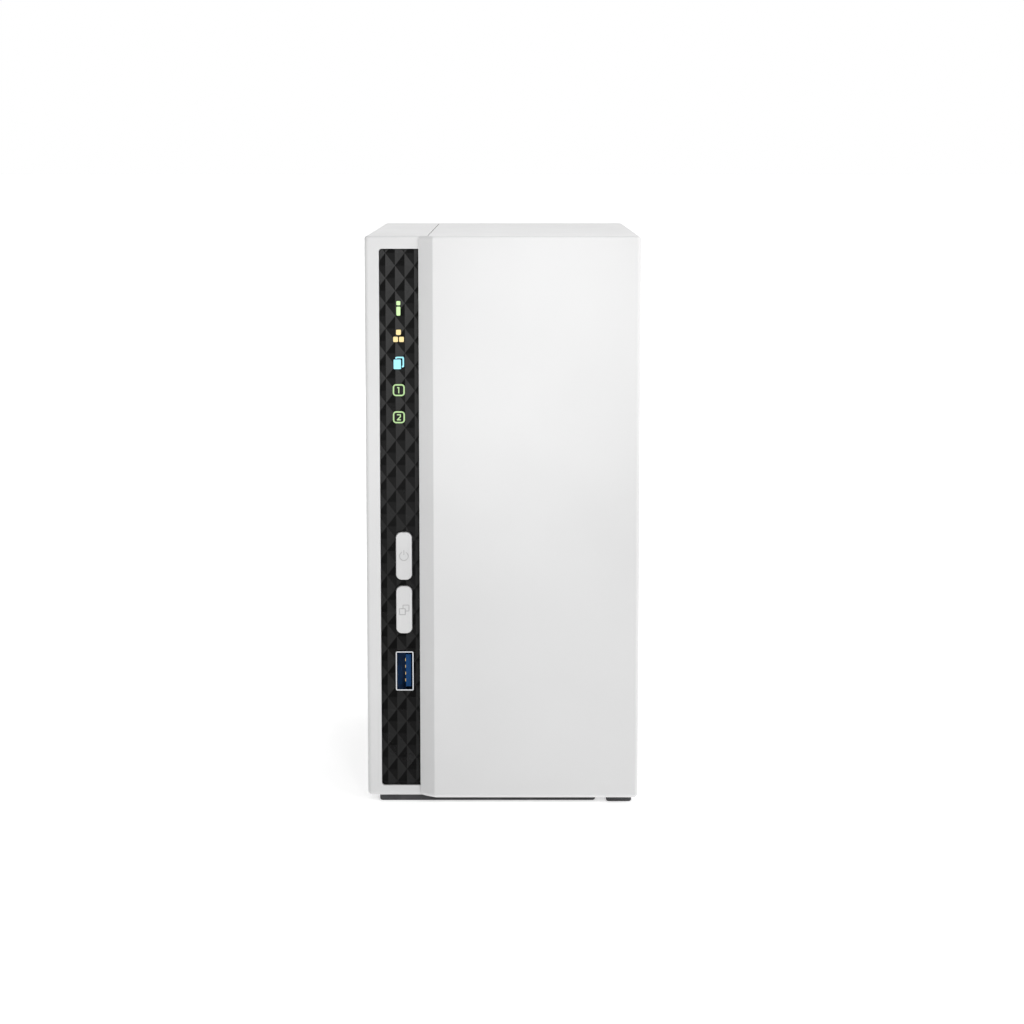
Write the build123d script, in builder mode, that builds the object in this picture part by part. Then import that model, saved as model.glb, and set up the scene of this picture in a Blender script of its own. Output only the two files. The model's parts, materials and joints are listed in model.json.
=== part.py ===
from build123d import *
from math import atan2, ceil, cos, degrees, hypot, radians, sin
import os

# A two-bay desktop network attached storage unit (NAS) that stands on edge.
# Frame: +X to the right seen from the front, +Y to the back, +Z up, millimetres.
# Origin: centre of the footprint, on the surface that the feet stand on.
#
# A moulded base housing (left wall, floor, part of the roof, bezel frame) carries everything:
# an upright mainboard behind the bezel, a sheet-metal cage with two upright 3.5 inch drives,
# a horizontal backplane under them, and a steel rear panel with the fan. A moulded cover
# (front panel, right wall, rest of the roof) slides off forwards along two rails.

os.makedirs("parts", exist_ok=True)

# ---------------------------------------------------------------- driving dimensions

# Envelope
case_width = 90.18
case_depth = 156.26
overall_height = 188.64
foot_height = 2.0

# Moulded shell
wall = 2.5
upright_edge_radius = 1.2
roof_edge_radius = 1.0
floor_edge_radius = 1.5
shell_gap = 0.3  # between the cover and everything it slides past
frame_thickness = 4.5  # bezel frame at the front of the base housing

# Split between base housing and cover, measured from the outside of the case
front_step = 4.0  # the cover's panel stands this far in front of the bezel frame
facet_inset = 17.6  # left side of the case to the start of the slanted facet
facet_width = 4.75
nose_wall = 1.8
facet_edge_radius = 0.6
top_seam_inset = 20.7
bottom_seam_inset = 12.3  # from the right side of the case
frame_width = 23.0

# Sliding rails: a tongue on the base housing, hooks on the cover
tongue_thickness = 1.2
tongue_reach = 4.0
tongue_root = 1.5
hook_thickness = 1.2
hook_grip = 1.3
hook_length = 14.0
hook_pitch = 50.0
hook_count = 3
hook_middle = 8.0

# Bezel strip
bezel_margin_left = 4.75
bezel_margin_top = 4.3
bezel_margin_bottom = 3.6
bezel_hidden_width = 3.5  # width that runs on under the cover's facet
bezel_recess = 0.6
bezel_thickness = 2.2
bezel_corner_radius = 1.0
bezel_ledge = 1.5
bezel_clearance = 0.1
cover_boss_gap = 0.1  # the cover's screw bosses, ahead of the rear panel
rear_boss_length = 9.0
rib_heights = (60.0, 120.0)
rib_thickness = 1.2
rib_reach = 1.5
floor_slot = (12.0, 2.2)
floor_slot_pitch = 4.5
floor_slot_count = 9
floor_slot_rows = [(6.0, 34.0), (6.0, -54.0)]
diamond_half_width = 3.14
diamond_height = 8.2
diamond_relief = 0.45
diamond_column_inset = 9.9  # a column of diamonds, from the left side of the case
diamond_row_drop = 13.84  # a diamond's centre in that column, below the top of the case

# Indicators, from the top down
icon_inset = 10.95
icon_top_drop = 23.72
icon_pitch = 8.95
icon_proud = 0.08
icon_clearance = 0.05
icon_stroke = 0.42
icon_inlay_depth = 1.0
guide_half_width = 2.25
guide_half_height = 2.4
guide_flange = 0.8
guide_stalk_radius = 1.3
drive_icon_half = (1.95, 1.95)
drive_icon_radius = 1.15
digit_width = 1.25
digit_height = 2.0
digit_stroke = 0.32
digit_flag = 0.5
status_icon_width = 1.22
network_icon_nodes = [(0, 1.12), (-0.97, -1.2), (0.97, -1.2)]
network_icon_node = (1.5, 1.65)
copy_icon_sheet = (2.35, 3.1)
copy_icon_shift = (-0.45, -0.45)
copy_icon_back = (1.4, 1.72)  # half the size of the outlined sheet behind
copy_icon_back_shift = (0.34, 0.3)
copy_icon_gap = 0.35

# Push buttons
button_inset = 12.39
button_width = 5.25
button_height = 15.9
button_corner_radius = 1.9
button_edge_radius = 0.35
button_proud = 0.9
button_clearance = 0.15
button_travel = 0.6
power_button_height = 83.05  # centre above the ground
copy_button_height = 65.05
button_flange = 0.85
button_flange_thickness = 1.0
button_flange_clearance = 0.05  # behind the bezel
plunger_radius = 1.5
symbol_stroke = 0.32
symbol_depth = 0.15
symbol_radius = 1.6

# Sheet metal, boards and small fits
sheet = 1.0
board_thickness = 1.6
screw_clearance = 0.05  # shank in its moulded pilot hole, on the radius
sheet_hole_clearance = 0.25  # shank through sheet metal, on the radius
port_clearance = 0.25

# Rear panel
rear_recess = 2.5
vent_radius = 31.5
vent_cell = 2.45  # radius of one hexagonal hole
vent_web = 1.3
security_slot_width = 7.0
security_slot_height = 3.2
security_slot_x = 20.0
security_slot_z = 36.0

# Fan
fan_size = 70.0
fan_depth = 25.0
fan_x = 5.0
fan_z = 128.0
fan_hole_pitch = 60.0
fan_hole_radius = 2.2
fan_duct_radius = 33.4
fan_duct_wall = 1.5
fan_flange = 3.5
fan_corner_radius = 4.0
fan_tip_clearance = 0.9
fan_hub_radius = 14.5
fan_hub_wall = 1.5
fan_blades = 7
fan_blade_thickness = 1.2
fan_shaft_radius = 1.5
fan_strut_width = 3.0
fan_strut_thickness = 3.5
fan_strut_turns = (30, 120, 210, 300)
fan_axial_gap = 1.0
fan_hub_cap = 1.5
bearing_radius = 3.2
bearing_tube_radius = 4.4
stator_radius = 11.0
stator_core_radius = 5.5
stator_tooth_width = 4.95
stator_shoe_thickness = 1.76
running_fit = 0.04
lead_radius = 1.2
lead_far = 50.9  # the lead's turn, from the fan's axis
lead_back = 12.5  # the lead's way out of the duct, ahead of the fan's outlet
lead_run = 5.0  # the lead's end, ahead of the fan
fan_connector_size = 8.0

# Mainboard
board_standoff = 4.6
mainboard_bottom = 8.0
mainboard_top = 172.0
mainboard_front_inset = 12.1  # behind the front of the case
mainboard_back_gap = 0.5  # ahead of the rear panel

# Ports
usb_width = 13.2
usb_thickness = 5.9
usb_depth = 15.8
usb_shell = 0.35
usb_lift = 3.75  # centre above the mainboard
usb_tongue_width = 10.8
usb_tongue_thickness = 1.75
usb_tongue_margin = 0.85  # from the outside of the shell
usb_tongue_setback = 1.2
usb_cavity_depth = 9.5
usb_contact_count = 4
usb_contact_pitch = 2.3
usb_contact_width = 1.0
usb_contact_thickness = 0.2
front_usb_height = 44.3
rear_usb_heights = (56.5, 73.5)
port_proud = 0.6
port_edge_radius = 0.4
ethernet_width = 16.0
ethernet_thickness = 13.5
ethernet_depth = 21.3
ethernet_height = 38.0
plug_lift = 2.4  # board side of the plug cavity, above the mainboard
plug_width = 11.8
plug_thickness = 8.2
plug_depth = 13.0
latch_width = 6.4
latch_thickness = 2.2
ethernet_contact_count = 8
ethernet_contact_pitch = 1.02
ethernet_contact_width = 0.4
power_jack_height = 20.0
power_jack_width = 9.2
power_jack_thickness = 11.0
power_jack_depth = 14.2
power_jack_lift = 6.0
power_bore_radius = 3.2
power_bore_depth = 10.0
power_pin_radius = 1.05
reset_height = 89.0
reset_hole_radius = 1.3

# Tactile switches behind the buttons
switch_size = 6.2
switch_thickness = 7.2
switch_depth = 4.5
switch_bore_spare = 0.8  # room under a stem that is pressed right in
switch_stem_radius = 1.75
switch_stem_clearance = 0.08
switch_stem_length = 2.8
switch_stem_seat = 0.8
reset_stem_radius = 0.9

# Drives
drive_length = 147.0
drive_width = 101.6
drive_thickness = 26.1
drive_gap = 3.5
drive_bottom = 25.0
drive_y = -6.5
first_drive_left = -17.0
drive_lid = 1.5
drive_rail = 6.0
drive_board_pocket = 3.5
drive_hole_rise = 6.35  # side holes above the drive's board side
drive_hole_first = 28.5
drive_hole_pitch = 101.6
drive_hole_depth = 5.0
drive_count = 2
drive_board_gap = 0.6
drive_board_thickness = 1.0
drive_board_height = 62.0
# Chips on a drive's circuit board: height, span along Y from the socket, span above the drive's bottom
drive_board_chips = [(1.0, (8.0, 22.0), (30.0, 44.0)), (0.8, (-12.0, -3.0), (26.0, 36.0))]
drive_corner_radius = 2.0
drive_recess_margin = 12.0  # end of the circuit board's recess, below the drive's top
blade_cover = 2.0  # room above the socket for the connector that carries the blades
platter_drop = 52.0  # centre of the platters, below the drive's top
motor_recess_radius = 14.0
lid_boss_radius = 12.0
lid_field_depth = 0.5
lid_screw_inset = 4.0

# Drive cage
cage_side_gap = 0.5  # drive to the cage's front and back plates
cage_left_gap = 2.0
cage_right_margin = 1.5
cage_leg_right = 30.0
cage_leg_left = -19.0
cage_floor_gap = 0.6
cage_foot_height = 8.0
cage_foot_reach = 8.7
cage_bend = 1.0
cage_top_margin = 1.0
cage_window_margin = 1.5  # round the sockets, in the cage's floor
cage_floor_slot = (22.0, 3.5)
cage_floor_slot_pitch = 7.0
cage_floor_slot_count = 4
cage_floor_slot_offset = 34.0
cage_side_slot = (34.0, 7.0)
cage_side_slot_pitch = (13.0, 44.0)
cage_side_slot_count = (6, 3)
cage_air_slot = (70.0, 6.0)
cage_air_slot_pitch = 9.0
cage_air_slot_shift = 3.5  # to the right of a drive's middle, clear of its screws

# Backplane
backplane_height = 13.0
backplane_left = -28.0
backplane_right = 33.0
backplane_front = -46.0
backplane_back = 20.0
backplane_tab = 5.0
socket_thickness = 5.0
socket_length = 42.0
socket_offset_y = -15.0
socket_top_reach = 4.0
socket_clearance = 0.6
socket_inset = 4.4
blade_thickness = 1.2
blade_slot_depth = 3.4
blade_inset = 4.0
power_blade_length = 20.0
data_blade_length = 10.0
edge_tab_reach = (-24.0, 8.0)
edge_slot_clearance = 0.1
edge_slot_wall = 2.2

# Feet
foot_depth = 10.0
foot_seat = 0.6
foot_clearance = 0.1
foot_edge_radius = 0.6
long_foot_left_inset = 3.9
long_foot_length = 72.2
short_foot_right_inset = 2.05
short_foot_length = 8.45
long_foot_front_inset = 5.4
short_foot_front_inset = 3.65
back_foot_inset = 8.0

# Parts on the mainboard, as (y, z) and sizes
processor_place = (-4.0, 108.0)
processor_size = (24.0, 24.0)
processor_thickness = 1.8
processor_substrate = 1.2
processor_die_cover = (14.9, 14.9)
heatsink_size = 36.0
heatsink_height = 10.0
heatsink_base = 2.0
heatsink_fin = 1.2
heatsink_fins = 9
memory_places = [(28.0, 96.0), (28.0, 108.0), (28.0, 120.0), (-36.0, 132.0)]
memory_size = (11.0, 8.0)
memory_thickness = 1.1
capacitor_radius = 3.2
capacitor_height = 8.0
capacitor_places = [(48.0, 28.0), (40.0, 28.0), (32.0, 28.0), (24.0, 28.0), (-4.0, 76.0)]
inductor_size = (7.5, 7.5)
inductor_thickness = 3.2
inductor_core_radius = 3.15
inductor_core_height = 4.0
inductor_places = [(46.0, 40.0), (36.0, 40.0), (26.0, 40.0)]
coin_cell_place = (-34.0, 64.0)
coin_cell_radius = 10.0
coin_cell_thickness = 3.2
coin_holder_wall = 1.6
coin_holder_thickness = 4.6
coin_holder_floor = 1.0
coin_mouth = 12.0  # slot in the holder's rim, to lift the cell out
buzzer_place = (-40.0, 100.0)
buzzer_radius = 4.5
buzzer_height = 5.5
buzzer_hole_radius = 0.8
led_depth = 2.0
led_height = 2.4

# Screws: shank radius, head radius, head height, length
machine_screw = (1.45, 2.8, 1.8, 5.5)
cover_screw = (1.45, 2.9, 1.9, 8.0)
fan_screw = (2.1, 3.6, 1.9, 10.0)
drive_screw = (1.7, 3.2, 1.6, 5.0)
lid_screw = (0.9, 1.9, 0.8, 4.0)
screw_boss_radius = 3.4
machine_screw_hole = machine_screw[0] + sheet_hole_clearance  # radius, through sheet or board

# ---------------------------------------------------------------- places worked out from them

x_left = -case_width / 2
x_right = case_width / 2
y_front = -case_depth / 2
y_back = case_depth / 2
z_base = foot_height
z_top = overall_height

x_left_inner = x_left + wall
x_right_inner = x_right - wall
z_floor = z_base + wall
z_ceiling = z_top - wall

y_frame = y_front + front_step
y_frame_back = y_frame + frame_thickness
y_nose = y_frame - shell_gap
y_panel_inner = y_front + wall
x_facet = x_left + facet_inset
x_panel = x_facet + facet_width
x_top_seam = x_left + top_seam_inset
x_bottom_seam = x_right - bottom_seam_inset
x_roof_end = x_top_seam - shell_gap / 2
x_floor_end = x_bottom_seam - shell_gap / 2
x_cover_roof = x_top_seam + shell_gap / 2
x_cover_floor = x_bottom_seam + shell_gap / 2
x_frame_end = x_left + frame_width

y_rear = y_back - rear_recess  # outer face of the rear panel
y_rear_inner = y_rear - sheet

x_top_tongue = x_top_seam + tongue_reach
x_bottom_tongue = x_bottom_seam + tongue_reach
z_top_tongue = (z_ceiling - shell_gap - tongue_thickness, z_ceiling - shell_gap)
z_bottom_tongue = (z_floor + shell_gap, z_floor + shell_gap + tongue_thickness)
y_tongue = (y_frame, y_rear_inner - 1.0)

x_bezel = (x_left + bezel_margin_left, x_facet + bezel_hidden_width)
z_bezel = (z_base + bezel_margin_bottom, z_top - bezel_margin_top)
y_bezel = y_frame + bezel_recess  # level of the diamonds' tips
y_bezel_back = y_bezel + bezel_thickness

x_icon = x_left + icon_inset
icon_heights = [z_top - icon_top_drop - icon_pitch * n for n in range(5)]
x_button = x_left + button_inset

x_board_back = x_left_inner + board_standoff
x_board = x_board_back + board_thickness  # component side
y_board = (y_front + mainboard_front_inset, y_rear_inner - mainboard_back_gap)

x_usb = x_board + usb_lift
y_front_usb = y_frame + 0.3  # mouth of the front socket
y_ports = y_rear + port_proud  # mouths of the rear sockets

x_switch = x_button
y_guide_flange = (y_bezel_back + 0.05, y_bezel_back + 1.2)
y_led = y_board[0] + 0.6
y_flange_front = y_bezel_back + button_flange_clearance
y_flange = (y_flange_front, y_flange_front + button_flange_thickness)
y_reset_switch = y_rear_inner - 3.0
switch_bore_depth = switch_stem_seat + button_travel + switch_bore_spare
y_switch = y_board[0] + 2.0  # front face of the two front switches
y_stem = y_switch - (switch_stem_length - switch_stem_seat)

drive_lefts = [first_drive_left + n * (drive_thickness + drive_gap) for n in range(drive_count)]
y_drive = (drive_y - drive_width / 2, drive_y + drive_width / 2)
z_drive = (drive_bottom, drive_bottom + drive_length)
drive_hole_heights = [drive_bottom + drive_hole_first + n * drive_hole_pitch for n in range(2)]

x_cage = first_drive_left - cage_left_gap - sheet
x_cage_right = drive_lefts[-1] + drive_thickness + cage_right_margin
y_cage = (y_drive[0] - cage_side_gap - sheet, y_drive[1] + cage_side_gap + sheet)
z_cage_floor = drive_bottom - cage_floor_gap - sheet

y_fan = (y_rear_inner - fan_depth, y_rear_inner)
fan_tip = fan_duct_radius - fan_tip_clearance
# Radius, pitch in degrees and chord of a fan blade at its root, middle and tip
fan_blade_sections = [(fan_hub_radius - 0.6, 52, 15.0), (24.0, 40, 19.0), (fan_tip + 1.0, 30, 21.0)]
y_lead = y_fan[1] - lead_back

z_backplane = backplane_height + board_thickness
y_socket = drive_y + socket_offset_y

hook_places = [hook_middle + (n - (hook_count - 1) / 2) * hook_pitch for n in range(hook_count)]

x_long_foot = (x_left + long_foot_left_inset, x_left + long_foot_left_inset + long_foot_length)
x_short_foot_end = x_right - short_foot_right_inset
x_short_foot = (x_short_foot_end - short_foot_length, x_short_foot_end)
y_back_feet = y_back - back_foot_inset - foot_depth
long_foot_fronts = (y_front + long_foot_front_inset, y_back_feet)
short_foot_fronts = (y_front + short_foot_front_inset, y_back_feet)

cage_foot_points = [(x, y) for x in (-12.0, 24.0) for y in (y_cage[0] - 4.6, y_cage[1] + 4.6)]
backplane_points = [(x, y) for x in (-2.0, 28.0) for y in (backplane_front + 6.0, backplane_back - 6.0)]
board_points = [(-54.0, 14.0), (-54.0, 164.0), (50.0, 13.0), (40.0, 164.0)]
rear_panel_points = [(x_board_back - 0.2, 180.0), (-8.0, 9.5), (16.0, 9.5)]
cover_screw_points = [(36.0, 180.5), (38.4, 11.6)]
fan_points = [
    (fan_x + i * fan_hole_pitch / 2, fan_z + j * fan_hole_pitch / 2) for i in (-1, 1) for j in (-1, 1)
]

# ---------------------------------------------------------------- helpers


def box(x, y, z, mode=Mode.ADD):
    """A box in the part being built, from its (low, high) on each axis."""
    middle = [(low + high) / 2 for low, high in (x, y, z)]
    size = [high - low for low, high in (x, y, z)]
    with Locations(tuple(middle)):
        Box(*size, mode=mode)


def rod(axis, centre, reach, radius, mode=Mode.ADD):
    """A cylinder along axis in the part being built. centre holds its other two coordinates."""
    middle = sum(reach) / 2
    a, b = centre
    place = {"X": (middle, a, b), "Y": (a, middle, b), "Z": (a, b, middle)}[axis]
    turn = {"X": (0, 90, 0), "Y": (90, 0, 0), "Z": (0, 0, 0)}[axis]
    with Locations(Location(place, turn)):
        Cylinder(radius, abs(reach[1] - reach[0]), mode=mode)


def front_plane(y):
    """A sketch plane that faces the front: local x is +X, local y is +Z."""
    return Plane(origin=(0, y, 0), x_dir=(1, 0, 0), z_dir=(0, -1, 0))


def port_hole(thickness, width):
    """The opening round a socket, in the sketch being built."""
    Rectangle(thickness + 2 * port_clearance, width + 2 * port_clearance)


def make_screw(shank_radius, head_radius, head_height, length):
    """A pan-head screw with a cross recess: its head stands up from the origin, its shank hangs down."""
    recess_width = head_radius * 0.28
    recess_length = head_radius * 1.15
    recess_depth = head_height * 0.6
    with BuildPart(mode=Mode.PRIVATE) as made:
        Cylinder(head_radius, head_height, align=(Align.CENTER, Align.CENTER, Align.MIN))
        fillet(made.edges().sort_by(Axis.Z)[-1], head_height * 0.55)
        Cylinder(shank_radius, length, align=(Align.CENTER, Align.CENTER, Align.MAX))
        chamfer(made.edges().sort_by(Axis.Z)[0], shank_radius * 0.35)
        with Locations((0, 0, head_height)):
            Box(recess_length, recess_width, 2 * recess_depth, mode=Mode.SUBTRACT)
            Box(recess_width, recess_length, 2 * recess_depth, mode=Mode.SUBTRACT)
    return made.part


def screw_places(points, level, facing):
    """Locations of screws whose heads sit at level and face "up", "back", "front" or "right"."""
    if facing == "up":
        return [Location((a, b, level)) for a, b in points]
    if facing == "back":
        return [Location((a, level, b), (-90, 0, 0)) for a, b in points]
    if facing == "front":
        return [Location((a, level, b), (90, 0, 0)) for a, b in points]
    return [Location((level, a, b), (0, 90, 0)) for a, b in points]


def chip(place, size, thickness):
    """A package on the mainboard at place (y, z) with size (y, z), in the part being built."""
    with Locations((x_board + thickness / 2, *place)):
        Box(thickness, *size)


def save(piece, name):
    """Labels a finished piece and writes it as the STEP file of the same name."""
    piece.label = name
    export_step(piece, f"parts/{name}.step")


# ---------------------------------------------------------------- base housing

with BuildPart() as base_housing:
    box((x_left, x_roof_end), (y_frame, y_back), (z_base, z_top))
    box((x_roof_end - 1, x_floor_end), (y_frame, y_back), (z_base, z_floor))
    fillet(base_housing.edges().filter_by(Axis.Z).group_by(Axis.X)[0], upright_edge_radius)
    fillet(base_housing.faces().sort_by(Axis.Z)[-1].edges().sort_by(Axis.X)[:-1], roof_edge_radius)
    fillet(base_housing.faces().sort_by(Axis.Z)[0].edges().sort_by(Axis.X)[:-1], floor_edge_radius)
    box((x_left_inner, x_roof_end + 1), (y_frame_back, y_back + 1), (z_floor, z_ceiling), Mode.SUBTRACT)
    # The bezel frame runs on to the right, behind the cover.
    box((x_roof_end - 1, x_frame_end), (y_frame, y_frame_back), (z_base, z_ceiling - shell_gap))
    # Tongues that the cover's hooks run along.
    box((x_roof_end - tongue_root, x_roof_end), y_tongue, (z_top_tongue[0], z_ceiling))
    box((x_roof_end - tongue_root, x_top_tongue), y_tongue, z_top_tongue)
    box((x_floor_end - tongue_root, x_floor_end), y_tongue, (z_floor, z_bottom_tongue[1]))
    box((x_floor_end - tongue_root, x_bottom_tongue), y_tongue, z_bottom_tongue)
    # Pocket for the bezel strip, and the window behind it.
    pocket_x = (x_bezel[0] - bezel_clearance, x_bezel[1] + bezel_clearance)
    pocket_z = (z_bezel[0] - bezel_clearance, z_bezel[1] + bezel_clearance)
    with BuildSketch(front_plane(y_frame)):
        with Locations((sum(pocket_x) / 2, sum(pocket_z) / 2)):
            RectangleRounded(pocket_x[1] - pocket_x[0], pocket_z[1] - pocket_z[0], bezel_corner_radius)
    extrude(amount=-(y_bezel_back - y_frame), mode=Mode.SUBTRACT)
    window_x = (pocket_x[0] + bezel_ledge, pocket_x[1] - bezel_ledge)
    window_z = (pocket_z[0] + bezel_ledge, pocket_z[1] - bezel_ledge)
    box(window_x, (y_frame, y_frame_back + 1), window_z, Mode.SUBTRACT)
    # Bosses: mainboard on the left wall, cage and backplane on the floor, rear panel at the back.
    for y, z in board_points:
        rod("X", (y, z), (x_left_inner - 1, x_board_back), screw_boss_radius)
    for x, y in cage_foot_points:
        rod("Z", (x, y), (z_floor - 1, cage_foot_height), screw_boss_radius)
    for x, y in backplane_points:
        rod("Z", (x, y), (z_floor - 1, backplane_height), screw_boss_radius)
    rear_boss = (y_rear_inner - rear_boss_length, y_rear_inner)
    for x, z in rear_panel_points:
        rod("Y", (x, z), rear_boss, screw_boss_radius)
    corner_x, corner_z = rear_panel_points[0]
    box((x_left_inner - 1, corner_x), rear_boss, (corner_z - 1, corner_z + 1))
    for x, z in rear_panel_points[1:]:
        box((x - 1, x + 1), rear_boss, (z_floor - 1, z))
    # Stiffening ribs on the left wall.
    for rib_z in rib_heights:
        rib_span = (rib_z - rib_thickness / 2, rib_z + rib_thickness / 2)
        box((x_left_inner - 1, x_left_inner + rib_reach), (y_frame_back - 1, y_rear_inner - 3), rib_span)
    # Pilot holes.
    pilot = machine_screw[0] + screw_clearance
    pilot_depth = machine_screw[3] + 0.5
    for y, z in board_points:
        rod("X", (y, z), (x_left_inner - 1.2, x_board_back + 1), pilot, Mode.SUBTRACT)
    for x, y in cage_foot_points:
        reach = (cage_foot_height - pilot_depth + sheet, cage_foot_height + 1)
        rod("Z", (x, y), reach, pilot, Mode.SUBTRACT)
    for x, y in backplane_points:
        rod("Z", (x, y), (backplane_height - pilot_depth, backplane_height + 1), pilot, Mode.SUBTRACT)
    for x, z in rear_panel_points:
        rod("Y", (x, z), (y_rear_inner - pilot_depth, y_rear_inner + 1), pilot, Mode.SUBTRACT)
    # Seats for the two long feet.
    for y in long_foot_fronts:
        seat_x = (x_long_foot[0] - foot_clearance, x_long_foot[1] + foot_clearance)
        seat_y = (y - foot_clearance, y + foot_depth + foot_clearance)
        box(seat_x, seat_y, (z_base - 1, z_base + foot_seat), Mode.SUBTRACT)
    # Air slots in the floor, under the drives.
    with BuildSketch(Plane.XY.offset(z_base)):
        with Locations(*floor_slot_rows):
            with GridLocations(floor_slot_pitch, 0, floor_slot_count, 1):
                SlotOverall(*floor_slot, rotation=90)
    extrude(amount=wall, mode=Mode.SUBTRACT)
save(base_housing.part, "base_housing")

# ---------------------------------------------------------------- sliding cover

facet_length = hypot(facet_width, y_nose - y_front)
nose_shift = nose_wall * facet_length / (y_nose - y_front)  # wall of the facet, measured along X
x_nose = x_facet + nose_shift
x_nose_panel = x_panel + nose_shift - wall * facet_width / (y_nose - y_front)
cover_boss_end = y_rear_inner - cover_boss_gap
cover_boss = (cover_boss_end - rear_boss_length, cover_boss_end)

with BuildPart() as slide_cover:
    with BuildSketch(Plane.XY.offset(z_base)):
        with BuildLine():
            Polyline(
                (x_facet, y_nose),
                (x_panel, y_front),
                (x_right, y_front),
                (x_right, y_back),
                (x_cover_roof, y_back),
                (x_cover_roof, y_nose),
                close=True,
            )
        make_face()
    extrude(amount=z_top - z_base)
    fillet(slide_cover.edges().filter_by(Axis.Z).group_by(Axis.X)[-1], upright_edge_radius)
    front_corners = slide_cover.edges().filter_by(Axis.Z).group_by(Axis.Y)[0]
    fillet(front_corners.sort_by(Axis.X)[0], facet_edge_radius)
    for end, radius in ((-1, roof_edge_radius), (0, floor_edge_radius)):
        rim = slide_cover.faces().sort_by(Axis.Z)[end].edges()
        outer = [edge for edge in rim if edge.center().Y < y_nose - 0.01 or edge.center().X > x_nose_panel]
        fillet(outer, radius)
    with BuildSketch(Plane.XY.offset(z_floor)):
        with BuildLine():
            Polyline(
                (x_nose, y_nose),
                (x_nose_panel, y_panel_inner),
                (x_right_inner, y_panel_inner),
                (x_right_inner, y_back + 1),
                (x_nose - 1, y_back + 1),
                (x_nose - 1, y_nose),
                close=True,
            )
        make_face()
    extrude(amount=z_ceiling - z_floor, mode=Mode.SUBTRACT)
    floor_gap = (z_base - 1, z_floor + 0.1)
    box((x_facet - 1, x_cover_floor), (y_nose, y_back + 1), floor_gap, Mode.SUBTRACT)
    # Hooks that grip the tongues of the base housing, at the roof and at the floor.
    for y in hook_places:
        span = (y - hook_length / 2, y + hook_length / 2)
        top_web = (x_top_tongue + shell_gap, x_top_tongue + shell_gap + hook_thickness)
        top_lip = (z_top_tongue[0] - shell_gap - hook_thickness, z_top_tongue[0] - shell_gap)
        box(top_web, span, (top_lip[0], z_ceiling + 0.5))
        box((x_top_tongue - hook_grip, top_web[1]), span, top_lip)
        floor_web = (x_bottom_tongue + shell_gap, x_bottom_tongue + shell_gap + hook_thickness)
        floor_lip = (z_bottom_tongue[1] + shell_gap, z_bottom_tongue[1] + shell_gap + hook_thickness)
        box(floor_web, span, (z_floor - 0.5, floor_lip[1]))
        box((x_bottom_tongue - hook_grip, floor_web[1]), span, floor_lip)
    # Bosses for the two screws that hold the cover from behind.
    (roof_x, roof_z), (floor_x, floor_z) = cover_screw_points
    for x, z in cover_screw_points:
        rod("Y", (x, z), cover_boss, screw_boss_radius)
    box((roof_x - 1, roof_x + 1), cover_boss, (roof_z, z_ceiling + 0.5))
    box((floor_x, x_right_inner + 0.5), cover_boss, (floor_z - 1, floor_z + 1))
    for x, z in cover_screw_points:
        pilot_end = y_rear - cover_screw[3] - 1.0
        rod("Y", (x, z), (pilot_end, y_rear_inner + 1), cover_screw[0] + screw_clearance, Mode.SUBTRACT)
    # Seats for the two short feet.
    for y in short_foot_fronts:
        seat_y = (y - foot_clearance, y + foot_depth + foot_clearance)
        seat_x = (x_short_foot[0] - foot_clearance, x_short_foot[1] + foot_clearance)
        box(seat_x, seat_y, (z_base - 1, z_base + foot_seat), Mode.SUBTRACT)
save(slide_cover.part, "slide_cover")

# ---------------------------------------------------------------- feet


def make_feet(reach, fronts):
    """Two rubber feet with rounded soles, one for each place along Y."""
    with BuildPart() as feet:
        for y in fronts:
            with BuildPart(mode=Mode.PRIVATE) as foot:
                box(reach, (y, y + foot_depth), (0, z_base + foot_seat))
                fillet(foot.edges().filter_by(Axis.Z), foot_edge_radius * 2)
                fillet(foot.faces().sort_by(Axis.Z)[0].edges(), foot_edge_radius)
            add(foot.part)
    return feet.part


save(make_feet(x_long_foot, long_foot_fronts), "base_feet")
save(make_feet(x_short_foot, short_foot_fronts), "cover_feet")

# ---------------------------------------------------------------- bezel strip

groove_length = hypot(diamond_half_width, diamond_height / 2)
groove_pitch = diamond_half_width * diamond_height / groove_length
groove_count = ceil((z_bezel[1] - z_bezel[0]) / groove_pitch)
diamond_x = x_left + diamond_column_inset
diamond_z = z_top - diamond_row_drop


def icon_outline(half_width, half_height, stroke, radius):
    """A rounded rectangle drawn as a line, in the sketch being built."""
    RectangleRounded(2 * half_width, 2 * half_height, radius)
    inner = (2 * (half_width - stroke), 2 * (half_height - stroke))
    RectangleRounded(*inner, radius / 2, mode=Mode.SUBTRACT)


def digit_one(grow=0.0):
    """The numeral 1 in the sketch being built: a stem with a short flag at its top."""
    Rectangle(digit_stroke + 2 * grow, digit_height + 2 * grow)
    with Locations((-digit_flag / 2, (digit_height - digit_stroke) / 2)):
        Rectangle(digit_flag + 2 * grow, digit_stroke + 2 * grow)


def digit_two(grow=0.0):
    """The numeral 2 in the sketch being built: an angular hook, a diagonal and a foot."""
    rise = (digit_height - digit_stroke) / 2
    side = (digit_width - digit_stroke) / 2
    crook = digit_stroke / 2  # height where the hook turns into the diagonal
    thick = digit_stroke + 2 * grow
    for level in (-rise, rise):
        with Locations((0, level)):
            Rectangle(digit_width + 2 * grow, thick)
    with Locations((side, (rise + crook) / 2)):
        Rectangle(thick, rise - crook + thick)
    with Locations((0, (crook - rise) / 2)):
        slope = degrees(atan2(rise + crook, 2 * side))
        Rectangle(hypot(rise + crook, 2 * side) + digit_stroke / 2, thick, rotation=slope)


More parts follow.
